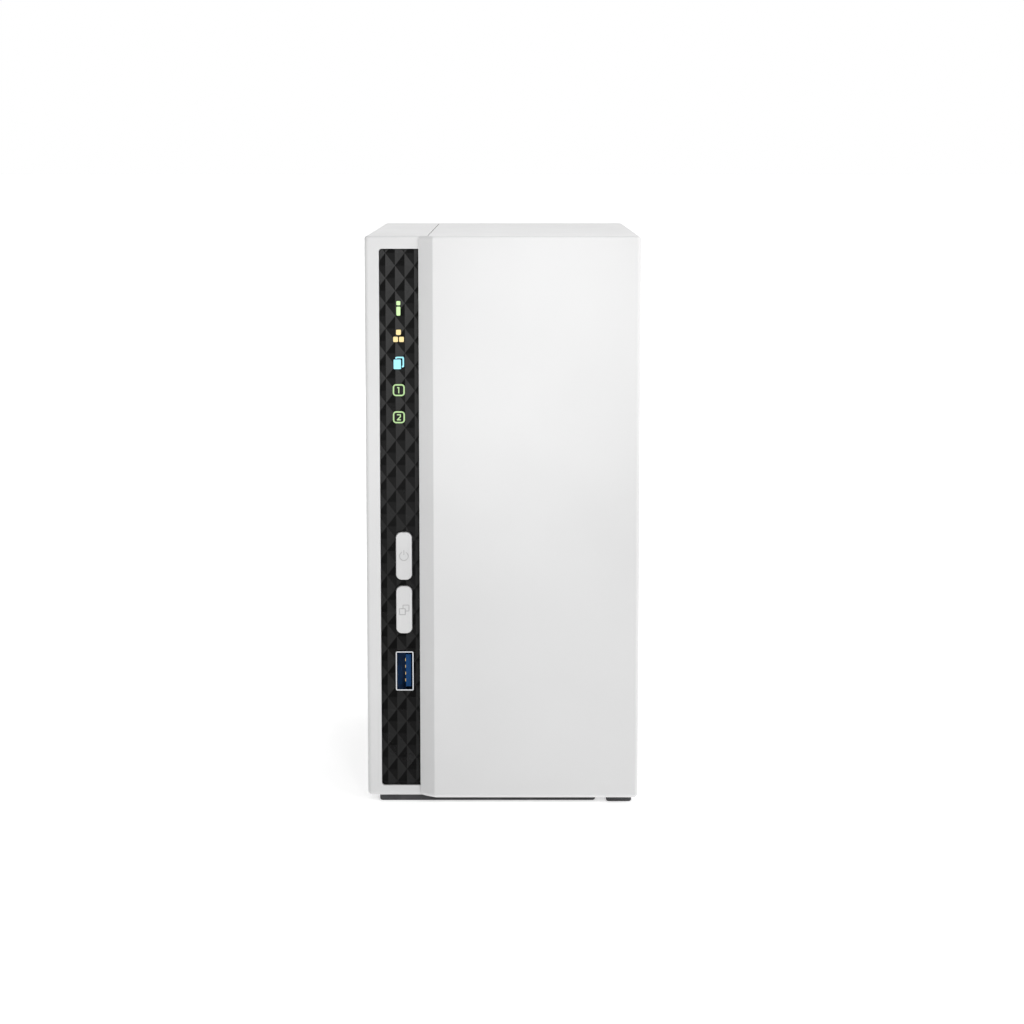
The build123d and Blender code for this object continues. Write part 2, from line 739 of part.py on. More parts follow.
def icon_status(grow=0.0):
    """A lower-case letter i: a dot over a stem."""
    with Locations((0, 1.72)):
        RectangleRounded(status_icon_width + 2 * grow, 1.3 + 2 * grow, 0.3)
    with Locations((0, -0.9)):
        RectangleRounded(status_icon_width + 2 * grow, 2.85 + 2 * grow, 0.3)


def icon_network(grow=0.0):
    """Three nodes of a network: one above, two below."""
    with Locations(*network_icon_nodes):
        RectangleRounded(*[side + 2 * grow for side in network_icon_node], 0.3)


def icon_copy(grow=0.0):
    """Two sheets: a filled one in front of the outline of another."""
    with Locations(copy_icon_back_shift):
        half = [side + grow for side in copy_icon_back]
        icon_outline(*half, icon_stroke + 2 * grow, 0.5)
    with Locations(copy_icon_shift):
        Rectangle(*[side + 2 * copy_icon_gap - 2 * grow for side in copy_icon_sheet], mode=Mode.SUBTRACT)
        RectangleRounded(*[side + 2 * grow for side in copy_icon_sheet], 0.3)


def icon_drive(digit, grow=0.0):
    """A drive bay: a rounded outline round its number."""
    half = [side + grow for side in drive_icon_half]
    icon_outline(*half, icon_stroke + 2 * grow, drive_icon_radius)
    digit(grow)


icons = {
    "status_light_guide": icon_status,
    "network_light_guide": icon_network,
    "copy_light_guide": icon_copy,
    "drive_1_light_guide": lambda grow=0.0: icon_drive(digit_one, grow),
    "drive_2_light_guide": lambda grow=0.0: icon_drive(digit_two, grow),
}

with BuildPart() as front_bezel:
    with BuildSketch(front_plane(y_bezel)):
        with Locations((sum(x_bezel) / 2, sum(z_bezel) / 2)):
            RectangleRounded(x_bezel[1] - x_bezel[0], z_bezel[1] - z_bezel[0], bezel_corner_radius)
    extrude(amount=-bezel_thickness)
    # Two families of grooves leave the shallow diamond pyramids standing.
    for lean in (1, -1):
        across = (diamond_height / 2, 0, lean * diamond_half_width)
        along = (lean * diamond_half_width, 0, -diamond_height / 2)
        ridge_plane = Plane(origin=(diamond_x, y_bezel, diamond_z), x_dir=across, z_dir=along)
        depth_sign = 1 if ridge_plane.y_dir.Y < 0 else -1
        ridges = [
            ((step / 2) * groove_pitch, -depth_sign * diamond_relief * (step % 2))
            for step in range(-4 * groove_count, 4 * groove_count + 1)
        ]
        far = 2 * groove_count * groove_pitch
        below = -2 * depth_sign * bezel_thickness
        with BuildSketch(ridge_plane):
            with BuildLine():
                Polyline(*ridges, (far, below), (-far, below), close=True)
            make_face()
        extrude(amount=2 * (z_bezel[1] - z_bezel[0]), both=True, mode=Mode.INTERSECT)
    # Icons are let in from the front, and their light guides come in from behind.
    for z, draw in zip(icon_heights, icons.values()):
        with BuildSketch(front_plane(y_bezel - 1).shift_origin((x_icon, y_bezel - 1, z))):
            if z in icon_heights[-drive_count:]:
                drive_icon_hole = [2 * (half + icon_clearance) for half in drive_icon_half]
                RectangleRounded(*drive_icon_hole, drive_icon_radius)
            else:
                draw(icon_clearance)
        extrude(amount=-(1 + icon_inlay_depth), mode=Mode.SUBTRACT)
        guide_hole = (guide_half_width + icon_clearance, guide_half_height + icon_clearance)
        guide_hole_x = (x_icon - guide_hole[0], x_icon + guide_hole[0])
        guide_hole_z = (z - guide_hole[1], z + guide_hole[1])
        box(guide_hole_x, (y_bezel + icon_inlay_depth, y_bezel_back + 1), guide_hole_z, Mode.SUBTRACT)
    # Openings for the two buttons and the socket.
    with BuildSketch(front_plane(y_bezel - 1)):
        with Locations((x_button, power_button_height), (x_button, copy_button_height)):
            button_hole = [side + 2 * button_clearance for side in (button_width, button_height)]
            RectangleRounded(*button_hole, button_corner_radius)
        with Locations((x_usb, front_usb_height)):
            port_hole(usb_thickness, usb_width)
    extrude(amount=-(bezel_thickness + 2), mode=Mode.SUBTRACT)
save(front_bezel.part, "front_bezel")

for (name, draw), z in zip(icons.items(), icon_heights):
    with BuildPart() as light_guide:
        with BuildSketch(front_plane(y_bezel - icon_proud).shift_origin((x_icon, y_bezel - icon_proud, z))):
            draw()
        extrude(amount=-(icon_proud + icon_inlay_depth + icon_clearance))
        guide_x = (x_icon - guide_half_width, x_icon + guide_half_width)
        guide_z = (z - guide_half_height, z + guide_half_height)
        box(guide_x, (y_bezel + icon_inlay_depth + icon_clearance, y_guide_flange[1]), guide_z)
        flange_x = (guide_x[0] - guide_flange, guide_x[1] + guide_flange)
        flange_z = (guide_z[0] - guide_flange, guide_z[1] + guide_flange)
        box(flange_x, y_guide_flange, flange_z)
        rod("Y", (x_icon, z), (y_guide_flange[1] - 0.5, y_led - 0.3), guide_stalk_radius)
    save(light_guide.part, name)

with BuildPart() as icon_masks:
    for digit, z in ((digit_one, icon_heights[3]), (digit_two, icon_heights[4])):
        inner_width = 2 * (drive_icon_half[0] - icon_stroke - icon_clearance)
        inner_height = 2 * (drive_icon_half[1] - icon_stroke - icon_clearance)
        with BuildSketch(front_plane(y_bezel).shift_origin((x_icon, y_bezel, z))):
            RectangleRounded(inner_width, inner_height, drive_icon_radius / 2)
            with BuildSketch(mode=Mode.PRIVATE) as numeral:
                digit(icon_clearance)
            add(numeral.sketch, mode=Mode.SUBTRACT)
        extrude(amount=-icon_inlay_depth)
save(icon_masks.part, "icon_masks")

# ---------------------------------------------------------------- push buttons and their switches


def draw_power_symbol():
    """A ring open at the top with a bar through the gap, in the sketch being built."""
    Circle(symbol_radius)
    Circle(symbol_radius - symbol_stroke, mode=Mode.SUBTRACT)
    with Locations((0, symbol_radius)):
        Rectangle(4 * symbol_stroke, symbol_radius, mode=Mode.SUBTRACT)
    with Locations((0, symbol_radius * 0.75)):
        Rectangle(symbol_stroke, symbol_radius)


def draw_copy_symbol():
    """Two overlapping rounded squares drawn as lines, in the sketch being built."""
    half = symbol_radius * 0.72
    shift = symbol_radius * 0.38
    with Locations((shift, shift)):
        icon_outline(half, half, symbol_stroke, 0.35)
    with Locations((-shift, -shift)):
        Rectangle(2 * half, 2 * half, mode=Mode.SUBTRACT)
        icon_outline(half, half, symbol_stroke, 0.35)


def make_button(height, draw_symbol):
    """A push button: a key with a shallow symbol, a retaining flange and a plunger behind."""
    key_front = y_bezel - button_proud
    with BuildPart() as button:
        with BuildSketch(front_plane(key_front)):
            with Locations((x_button, height)):
                RectangleRounded(button_width, button_height, button_corner_radius)
        extrude(amount=-(y_flange[0] - key_front))
        fillet(button.faces().sort_by(Axis.Y)[0].edges(), button_edge_radius)
        flange_half = (button_width / 2 + button_flange, button_height / 2 + button_flange)
        flange_x = (x_button - flange_half[0], x_button + flange_half[0])
        flange_z = (height - flange_half[1], height + flange_half[1])
        box(flange_x, y_flange, flange_z)
        rod("Y", (x_button, height), (y_flange[1] - 0.5, y_stem), plunger_radius)
        with BuildSketch(front_plane(key_front).shift_origin((x_button, key_front, height))):
            draw_symbol()
        extrude(amount=-symbol_depth, mode=Mode.SUBTRACT)
    return button.part


save(make_button(power_button_height, draw_power_symbol), "power_button")
save(make_button(copy_button_height, draw_copy_symbol), "copy_button")

with BuildPart() as front_switches:
    for z in (power_button_height, copy_button_height):
        with BuildPart(mode=Mode.PRIVATE) as switch:
            body_z = (z - switch_size / 2, z + switch_size / 2)
            box((x_board, x_board + switch_thickness), (y_switch, y_switch + switch_depth), body_z)
            chamfer(switch.edges().filter_by(Axis.Y), 0.5)
            bore = (y_switch - 1, y_switch + switch_bore_depth)
            rod("Y", (x_switch, z), bore, switch_stem_radius + switch_stem_clearance, Mode.SUBTRACT)
        add(switch.part)
save(front_switches.part, "front_switches")

for name, z in (("power_switch_stem", power_button_height), ("copy_switch_stem", copy_button_height)):
    with BuildPart() as stem:
        rod("Y", (x_switch, z), (y_stem, y_stem + switch_stem_length), switch_stem_radius)
        chamfer(stem.edges().sort_by(Axis.Y)[0], 0.3)
    save(stem.part, name)

with BuildPart() as reset_switch:
    reset_z = (reset_height - switch_size / 2, reset_height + switch_size / 2)
    box((x_board, x_board + switch_thickness), (y_reset_switch - switch_depth, y_reset_switch), reset_z)
    chamfer(reset_switch.edges().filter_by(Axis.Y), 0.5)
    bore = (y_reset_switch - switch_bore_depth, y_reset_switch + 1)
    rod("Y", (x_switch, reset_height), bore, reset_stem_radius + switch_stem_clearance, Mode.SUBTRACT)
save(reset_switch.part, "reset_switch")

with BuildPart() as reset_button:
    rod("Y", (x_switch, reset_height), (y_reset_switch - switch_stem_seat, y_rear - 0.4), reset_stem_radius)
    chamfer(reset_button.edges().sort_by(Axis.Y)[-1], 0.2)
save(reset_button.part, "reset_button")

# ---------------------------------------------------------------- mainboard and what sits on it

with BuildPart() as mainboard:
    box((x_board_back, x_board), y_board, (mainboard_bottom, mainboard_top))
    chamfer(mainboard.edges().filter_by(Axis.X), 1.5)
    for y, z in board_points:
        rod("X", (y, z), (x_board_back - 1, x_board + 1), machine_screw_hole, Mode.SUBTRACT)
save(mainboard.part, "mainboard")

with BuildPart() as processor:
    chip(processor_place, processor_size, processor_substrate)
    chip(processor_place, processor_die_cover, processor_thickness)
save(processor.part, "processor")

with BuildPart() as processor_heatsink:
    base_x = (x_board + processor_thickness, x_board + processor_thickness + heatsink_base)
    sink_y = (processor_place[0] - heatsink_size / 2, processor_place[0] + heatsink_size / 2)
    sink_z = (processor_place[1] - heatsink_size / 2, processor_place[1] + heatsink_size / 2)
    box(base_x, sink_y, sink_z)
    fin_pitch = (heatsink_size - heatsink_fin) / (heatsink_fins - 1)
    for n in range(heatsink_fins):
        fin_y = sink_y[0] + n * fin_pitch
        box((base_x[0] + 1, base_x[0] + heatsink_height), (fin_y, fin_y + heatsink_fin), sink_z)
save(processor_heatsink.part, "processor_heatsink")

with BuildPart() as memory_chips:
    for place in memory_places:
        chip(place, memory_size, memory_thickness)
save(memory_chips.part, "memory_chips")

with BuildPart() as capacitors:
    for y, z in capacitor_places:
        rod("X", (y, z), (x_board, x_board + 1.0), capacitor_radius + 0.3)
        rod("X", (y, z), (x_board + 0.5, x_board + 2.4), capacitor_radius - 0.3)
        rod("X", (y, z), (x_board + 1.6, x_board + capacitor_height), capacitor_radius)
save(capacitors.part, "capacitors")

with BuildPart() as inductors:
    for place in inductor_places:
        chip(place, inductor_size, inductor_thickness)
        rod("X", place, (x_board, x_board + inductor_core_height), inductor_core_radius)
save(inductors.part, "inductors")

with BuildPart() as coin_cell_holder:
    cell_y, cell_z = coin_cell_place
    holder_x = (x_board, x_board + coin_holder_thickness)
    holder_floor = x_board + coin_holder_floor
    rod("X", coin_cell_place, holder_x, coin_cell_radius + coin_holder_wall)
    rod("X", coin_cell_place, (holder_floor, holder_x[1] + 1), coin_cell_radius + 0.2, Mode.SUBTRACT)
    mouth_y = (cell_y, cell_y + 2 * coin_cell_radius)
    mouth_z = (cell_z - coin_mouth / 2, cell_z + coin_mouth / 2)
    box((holder_floor, holder_x[1] + 1), mouth_y, mouth_z, Mode.SUBTRACT)
save(coin_cell_holder.part, "coin_cell_holder")

with BuildPart() as coin_cell:
    rod("X", coin_cell_place, (holder_floor, holder_floor + coin_cell_thickness), coin_cell_radius)
    chamfer(coin_cell.edges().sort_by(Axis.X)[-1], 0.5)
save(coin_cell.part, "coin_cell")

with BuildPart() as buzzer:
    rod("X", buzzer_place, (x_board, x_board + buzzer_height), buzzer_radius)
    chamfer(buzzer.edges().sort_by(Axis.X)[-1], 0.6)
    rod("X", buzzer_place, (x_board + 3.0, x_board + buzzer_height + 1), buzzer_hole_radius, Mode.SUBTRACT)
save(buzzer.part, "buzzer")

with BuildPart() as indicator_leds:
    for z in icon_heights:
        box((x_board, x_icon + 0.8), (y_led, y_led + led_depth), (z - led_height / 2, z + led_height / 2))
save(indicator_leds.part, "indicator_leds")

# ---------------------------------------------------------------- sockets


def usb_spans(height):
    """The outside of a USB socket across X and Z."""
    across = (x_usb - usb_thickness / 2, x_usb + usb_thickness / 2)
    return across, (height - usb_width / 2, height + usb_width / 2)


def shrink(span, margin):
    """A (low, high) span with margin taken off both ends."""
    return span[0] + margin, span[1] - margin


def usb_shell_box(height, mouth, inward):
    """The sheet-metal shell of a USB socket, open at its mouth and at its back."""
    across, upright = usb_spans(height)
    deep = sorted((mouth, mouth + inward * usb_depth))
    with BuildPart(mode=Mode.PRIVATE) as shell:
        box(across, deep, upright)
        fillet(shell.edges().filter_by(Axis.Y), 0.5)
        through = (deep[0] - 1, deep[1] + 1)
        box(shrink(across, usb_shell), through, shrink(upright, usb_shell), Mode.SUBTRACT)
    return shell.part


def usb_insulator(height, mouth, inward):
    """The moulded insert of a USB socket: a block at the back with the contact tongue on it."""
    across, upright = usb_spans(height)
    block_y = sorted((mouth + inward * usb_cavity_depth, mouth + inward * usb_depth))
    tongue_y = sorted((mouth + inward * usb_tongue_setback, mouth + inward * (usb_cavity_depth + 1)))
    tongue_x = (across[1] - usb_tongue_margin - usb_tongue_thickness, across[1] - usb_tongue_margin)
    tongue_z = (height - usb_tongue_width / 2, height + usb_tongue_width / 2)
    with BuildPart(mode=Mode.PRIVATE) as insert:
        box(shrink(across, usb_shell + 0.02), block_y, shrink(upright, usb_shell + 0.02))
        box(tongue_x, tongue_y, tongue_z)
    return insert.part


usb_sockets = [(front_usb_height, y_front_usb, 1)] + [(z, y_ports, -1) for z in rear_usb_heights]

with BuildPart() as front_usb_shell:
    add(usb_shell_box(*usb_sockets[0]))
save(front_usb_shell.part, "front_usb_shell")

with BuildPart() as front_usb_tongue:
    add(usb_insulator(*usb_sockets[0]))
save(front_usb_tongue.part, "front_usb_tongue")

with BuildPart() as rear_usb_shells:
    for socket in usb_sockets[1:]:
        add(usb_shell_box(*socket))
save(rear_usb_shells.part, "rear_usb_shells")

with BuildPart() as rear_usb_tongues:
    for socket in usb_sockets[1:]:
        add(usb_insulator(*socket))
save(rear_usb_tongues.part, "rear_usb_tongues")

with BuildPart() as usb_contacts:
    for height, mouth, inward in usb_sockets:
        face = x_usb + usb_thickness / 2 - usb_tongue_margin - usb_tongue_thickness
        strip_from = mouth + inward * (usb_tongue_setback + 1.0)
        strip_to = mouth + inward * (usb_cavity_depth - 0.5)
        for n in range(usb_contact_count):
            z = height + (n - (usb_contact_count - 1) / 2) * usb_contact_pitch
            strip_z = (z - usb_contact_width / 2, z + usb_contact_width / 2)
            box((face - usb_contact_thickness, face), sorted((strip_from, strip_to)), strip_z)
save(usb_contacts.part, "usb_contacts")

x_plug = x_board + plug_lift
ethernet_z = (ethernet_height - ethernet_width / 2, ethernet_height + ethernet_width / 2)
ethernet_y = (y_ports - ethernet_depth, y_ports)

with BuildPart() as ethernet_jack:
    box((x_board, x_board + ethernet_thickness), ethernet_y, ethernet_z)
    fillet(ethernet_jack.edges().filter_by(Axis.Y), port_edge_radius)
    plug_z = (ethernet_height - plug_width / 2, ethernet_height + plug_width / 2)
    box((x_plug, x_plug + plug_thickness), (y_ports - plug_depth, y_ports + 1), plug_z, Mode.SUBTRACT)
    latch_z = (ethernet_height - latch_width / 2, ethernet_height + latch_width / 2)
    latch_x = (x_plug + plug_thickness - 0.5, x_plug + plug_thickness + latch_thickness)
    box(latch_x, (y_ports - plug_depth, y_ports + 1), latch_z, Mode.SUBTRACT)
save(ethernet_jack.part, "ethernet_jack")

with BuildPart() as ethernet_contacts:
    cavity_end = y_ports - plug_depth
    for n in range(ethernet_contact_count):
        z = ethernet_height + (n - (ethernet_contact_count - 1) / 2) * ethernet_contact_pitch
        contact_z = (z - ethernet_contact_width / 2, z + ethernet_contact_width / 2)
        box((x_plug, x_plug + 0.5), (cavity_end, y_ports - 4.0), contact_z)
        box((x_plug, x_plug + 1.8), (cavity_end, cavity_end + 4.0), contact_z)
save(ethernet_contacts.part, "ethernet_contacts")

x_power = x_board + power_jack_lift
power_z = (power_jack_height - power_jack_width / 2, power_jack_height + power_jack_width / 2)

with BuildPart() as power_jack:
    box((x_board, x_board + power_jack_thickness), (y_ports - power_jack_depth, y_ports), power_z)
    fillet(power_jack.edges().filter_by(Axis.Y), port_edge_radius)
    bore = (y_ports - power_bore_depth, y_ports + 1)
    rod("Y", (x_power, power_jack_height), bore, power_bore_radius, Mode.SUBTRACT)
save(power_jack.part, "power_jack")

with BuildPart() as power_jack_pin:
    pin_y = (y_ports - power_bore_depth, y_ports - 1.0)
    rod("Y", (x_power, power_jack_height), pin_y, power_pin_radius)
    chamfer(power_jack_pin.edges().sort_by(Axis.Y)[-1], 0.3)
save(power_jack_pin.part, "power_jack_pin")

# ---------------------------------------------------------------- backplane

with BuildPart() as backplane:
    board_z = (backplane_height, z_backplane)
    box((backplane_left, backplane_right), (backplane_front, backplane_back), board_z)
    chamfer(backplane.edges().filter_by(Axis.Z), 1.5)
    box((backplane_left - backplane_tab, backplane_left + 1), edge_tab_reach, board_z)
    for x, y in backplane_points:
        hole = (backplane_height - 1, z_backplane + 1)
        rod("Z", (x, y), hole, machine_screw_hole, Mode.SUBTRACT)
save(backplane.part, "backplane")

with BuildPart() as backplane_connector:
    slot_z = (backplane_height - edge_slot_clearance, z_backplane + edge_slot_clearance)
    block_x = (x_board, backplane_left - 0.8)
    block_y = (edge_tab_reach[0] - 3.0, edge_tab_reach[1] + 3.0)
    box(block_x, block_y, (slot_z[0] - edge_slot_wall, slot_z[1] + edge_slot_wall))
    chamfer(backplane_connector.edges().filter_by(Axis.Y).group_by(Axis.X)[-1], 0.6)
    slot_x = (backplane_left - backplane_tab - 0.3, block_x[1] + 1)
    box(slot_x, (edge_tab_reach[0] - 0.2, edge_tab_reach[1] + 0.2), slot_z, Mode.SUBTRACT)
save(backplane_connector.part, "backplane_connector")

# ---------------------------------------------------------------- drives

socket_x = [left + socket_inset for left in drive_lefts]
socket_top = drive_bottom + socket_top_reach


def blade_spans(margin=0.0):
    """The two contact blades of a drive's connector along Y: the long power one, the short data one."""
    front = y_socket - socket_length / 2 + blade_inset
    back = y_socket + socket_length / 2 - blade_inset
    power = (front, front + power_blade_length)
    data = (back - data_blade_length, back)
    return [(low - margin, high + margin) for low, high in (power, data)]


with BuildPart() as drive_sockets:
    for left in socket_x:
        with BuildPart(mode=Mode.PRIVATE) as socket:
            span_y = (y_socket - socket_length / 2, y_socket + socket_length / 2)
            box((left, left + socket_thickness), span_y, (z_backplane, socket_top))
            chamfer(socket.edges().filter_by(Axis.Z), 0.6)
            middle = left + socket_thickness / 2
            for span in blade_spans(0.25):
                slot = (middle - blade_thickness / 2 - 0.2, middle + blade_thickness / 2 + 0.2)
                box(slot, span, (socket_top - blade_slot_depth, socket_top + 1), Mode.SUBTRACT)
        add(socket.part)
save(drive_sockets.part, "drive_sockets")


def lid_screw_points():
    """Lid screws of a drive as (y, z): four corners and the middle of each long side."""
    ys = shrink(y_drive, lid_screw_inset)
    zs = (z_drive[0] + lid_screw_inset, sum(z_drive) / 2, z_drive[1] - lid_screw_inset)
    return [(y, z) for y in ys for z in zs]


for number, left in enumerate(drive_lefts, start=1):
    right = left + drive_thickness
    with BuildPart() as drive_body:
        box((left, right - drive_lid), y_drive, z_drive)
        fillet(drive_body.edges().filter_by(Axis.X), drive_corner_radius)
        # Open recess for the circuit board between the two side rails.
        recess_x = (left - 1, left + drive_board_pocket)
        recess_z = (z_drive[0] - 1, z_drive[1] - drive_recess_margin)
        box(recess_x, shrink(y_drive, drive_rail), recess_z, Mode.SUBTRACT)
        # Room for the socket on the backplane.
        cavity_x = (left - 1, left + socket_inset + socket_thickness + socket_clearance)
        cavity_half = socket_length / 2 + socket_clearance
        cavity_y = (y_socket - cavity_half, y_socket + cavity_half)
        cavity_top = socket_top + socket_clearance + blade_cover
        box(cavity_x, cavity_y, (z_drive[0] - 1, cavity_top), Mode.SUBTRACT)
        # Round recess over the spindle motor.
        motor_x = (left, left + drive_board_pocket + 1.0)
        rod("X", (sum(y_drive) / 2, z_drive[1] - platter_drop), motor_x, motor_recess_radius, Mode.SUBTRACT)
        for z in drive_hole_heights:
            hole_x = left + drive_hole_rise
            for y_face, inward in ((y_drive[0], 1), (y_drive[1], -1)):
                reach = sorted((y_face - inward, y_face + inward * drive_hole_depth))
                rod("Y", (hole_x, z), reach, drive_screw[0] + screw_clearance, Mode.SUBTRACT)
        for y, z in lid_screw_points():
            reach = (right - drive_lid - lid_screw[3], right)
            rod("X", (y, z), reach, lid_screw[0] + screw_clearance, Mode.SUBTRACT)
    save(drive_body.part, f"drive_{number}_body")

    with BuildPart() as drive_lid_plate:
        box((right - drive_lid, right), y_drive, z_drive)
        fillet(drive_lid_plate.edges().filter_by(Axis.X), drive_corner_radius)
        chamfer(drive_lid_plate.faces().sort_by(Axis.X)[-1].edges(), 0.4)
        # The stamped field and the round boss over the platters.
        field = (right - lid_field_depth, right + 1)
        box(field, shrink(y_drive, 9.0), (z_drive[0] + 8, z_drive[1] - 8), Mode.SUBTRACT)
        rod("X", (sum(y_drive) / 2, z_drive[1] - platter_drop), (right - 1.0, right), lid_boss_radius)
        for y, z in lid_screw_points():
            rod("X", (y, z), (right - drive_lid - 1, right + 1), lid_screw[0] + 0.1, Mode.SUBTRACT)
            rod("X", (y, z), (right - lid_screw[2], right + 1), lid_screw[1] + 0.1, Mode.SUBTRACT)
    save(drive_lid_plate.part, f"drive_{number}_lid")

    with BuildPart() as drive_board:
        board_top = left + drive_board_pocket - drive_board_gap
        board_x = (board_top - drive_board_thickness, board_top)
        board_y = shrink(y_drive, drive_rail + 1.0)
        box(board_x, board_y, (cavity_top, z_drive[0] + drive_board_height))
        # The controller and its memory.
        for rise, (y_from, y_to), (z_from, z_to) in drive_board_chips:
            chip_x = (board_x[0] - rise, board_x[0] + 0.2)
            box(chip_x, (y_socket + y_from, y_socket + y_to), (z_drive[0] + z_from, z_drive[0] + z_to))
        # Connector shroud across the end of the board, with its two contact blades.
        header_x = (board_x[0], left + socket_inset + socket_thickness + socket_clearance - 0.1)
        box(header_x, shrink(cavity_y, 0.1), (cavity_top - 1.5, cavity_top - 0.1))
        box(board_x, shrink(cavity_y, 0.1), (cavity_top - 1.5, cavity_top + 1))
        middle = left + socket_inset + socket_thickness / 2
        for span in blade_spans():
            blade_x = (middle - blade_thickness / 2, middle + blade_thickness / 2)
            box(blade_x, span, (drive_bottom + 1.2, cavity_top - 1.0))
    save(drive_board.part, f"drive_{number}_board")

with BuildPart() as drive_lid_screws:
    for left in drive_lefts:
        level = left + drive_thickness - lid_screw[2]
        with Locations(*screw_places(lid_screw_points(), level, "right")):
            add(make_screw(*lid_screw))
save(drive_lid_screws.part, "drive_lid_screws")

# ---------------------------------------------------------------- drive cage

with BuildPart() as drive_cage:
    cage_top = z_drive[1] + cage_top_margin
    box((x_cage, x_cage_right), y_cage, (z_cage_floor, cage_top))
    cage_edge = cage_bend + sheet  # outside radius of a bend
    fillet(drive_cage.edges().filter_by(Axis.Z).group_by(Axis.X)[0], cage_edge)
    fillet(drive_cage.faces().sort_by(Axis.Z)[0].edges().sort_by(Axis.X)[:-1], cage_edge)
    with BuildPart(mode=Mode.PRIVATE) as hollow:
        inner_y = (y_cage[0] + sheet, y_cage[1] - sheet)
        box((x_cage + sheet, x_cage_right + 20), inner_y, (z_cage_floor + sheet, cage_top + 20))
        fillet(hollow.edges().filter_by(Axis.Z).group_by(Axis.X)[0], cage_bend)
        fillet(hollow.faces().sort_by(Axis.Z)[0].edges().sort_by(Axis.X)[:-1], cage_bend)
    add(hollow.part, mode=Mode.SUBTRACT)
    # Legs and feet at the front and the back.
    for wall_y, out in ((y_cage[0], -1), (y_cage[1], 1)):
        leg_y = sorted((wall_y, wall_y - out * sheet))
        leg_x = (cage_leg_left + cage_edge, cage_leg_right)
        box(leg_x, leg_y, (cage_foot_height, z_cage_floor + cage_edge + 1))
        foot_y = sorted((wall_y - out * sheet, wall_y + out * cage_foot_reach))
        box(leg_x, foot_y, (cage_foot_height, cage_foot_height + sheet))
    # Windows over the drives' connectors, air holes and weight savers.
    for left in socket_x:
        hole_x = (left - cage_window_margin, left + socket_thickness + cage_window_margin)
        hole_half = socket_length / 2 + cage_window_margin
        hole_y = (y_socket - hole_half, y_socket + hole_half)
        box(hole_x, hole_y, (z_cage_floor - 1, z_cage_floor + sheet + 0.5), Mode.SUBTRACT)
    with BuildSketch(Plane.XY.offset(z_cage_floor - 0.5)):
        with Locations((0, drive_y + cage_floor_slot_offset)):
            with GridLocations(cage_floor_slot_pitch, 0, cage_floor_slot_count, 1):
                SlotOverall(*cage_floor_slot, rotation=90)
    extrude(amount=sheet + 1.0, mode=Mode.SUBTRACT)
    z_middle = sum(z_drive) / 2
    side_plane = Plane(origin=(x_cage - 1, drive_y, z_middle), x_dir=(0, 1, 0), z_dir=(1, 0, 0))
    with BuildSketch(side_plane):
        with GridLocations(*cage_side_slot_pitch, *cage_side_slot_count):
            SlotOverall(*cage_side_slot, rotation=90)
    extrude(amount=sheet + 2, mode=Mode.SUBTRACT)
    for left in drive_lefts:
        slot_x = left + drive_thickness / 2 + cage_air_slot_shift
        with BuildSketch(front_plane(y_cage[1] + 1).shift_origin((slot_x, y_cage[1] + 1, z_middle))):
            with GridLocations(cage_air_slot_pitch, 0, 2, 1):
                SlotOverall(*cage_air_slot, rotation=90)
        extrude(amount=drive_width + 6, mode=Mode.SUBTRACT)
    # Screw holes: drives through the walls, cage through its feet.
    through = (y_cage[0] - 1, y_cage[1] + 1)
    drive_screw_hole = drive_screw[0] + sheet_hole_clearance
    for left in drive_lefts:
        for z in drive_hole_heights:
            rod("Y", (left + drive_hole_rise, z), through, drive_screw_hole, Mode.SUBTRACT)
    for x, y in cage_foot_points:
        reach = (cage_foot_height - 1, cage_foot_height + 2 * sheet)
        rod("Z", (x, y), reach, machine_screw_hole, Mode.SUBTRACT)
save(drive_cage.part, "drive_cage")

with BuildPart() as drive_screws:
    points = [(left + drive_hole_rise, z) for left in drive_lefts for z in drive_hole_heights]
    for level, facing in ((y_cage[0], "front"), (y_cage[1], "back")):
        with Locations(*screw_places(points, level, facing)):
            add(make_screw(*drive_screw))
save(drive_screws.part, "drive_screws")

# ---------------------------------------------------------------- rear panel

with BuildPart() as rear_panel:
    panel_x = shrink((x_left_inner, x_right_inner), shell_gap)
    panel_z = shrink((z_floor, z_ceiling), shell_gap)
    box(panel_x, (y_rear_inner, y_rear), panel_z)
    fillet(rear_panel.edges().filter_by(Axis.Y), 1.0)
    through = (y_rear_inner - 1, y_rear + 1)
    vent_pitch = 2 * vent_cell * cos(radians(30)) + vent_web
    vent_row = vent_pitch * cos(radians(30))
    rows = ceil(vent_radius / vent_row)
    centres = [
        (fan_x + (column + 0.5 * (row % 2)) * vent_pitch, fan_z + row * vent_row)
        for row in range(-rows, rows + 1)
        for column in range(-rows, rows + 1)
    ]
    vents = [(x, z) for x, z in centres if hypot(x - fan_x, z - fan_z) + vent_cell < vent_radius]
    with BuildSketch(front_plane(y_rear_inner - 1)):
        with Locations(*vents):
            RegularPolygon(vent_cell, 6, rotation=30)
        with Locations(*[(x_usb, z) for z in rear_usb_heights]):
            port_hole(usb_thickness, usb_width)
        with Locations((x_board + ethernet_thickness / 2, ethernet_height)):
            port_hole(ethernet_thickness, ethernet_width)
        with Locations((x_board + power_jack_thickness / 2, power_jack_height)):
            port_hole(power_jack_thickness, power_jack_width)
        with Locations((security_slot_x, security_slot_z)):
            SlotOverall(security_slot_width, security_slot_height)
        with Locations((x_switch, reset_height)):
            Circle(reset_hole_radius)
        with Locations(*fan_points):
            Circle(fan_screw[0] + sheet_hole_clearance)
        with Locations(*rear_panel_points, *cover_screw_points):
            Circle(machine_screw_hole)
    extrude(amount=-(sheet + 2), mode=Mode.SUBTRACT)
save(rear_panel.part, "rear_panel")

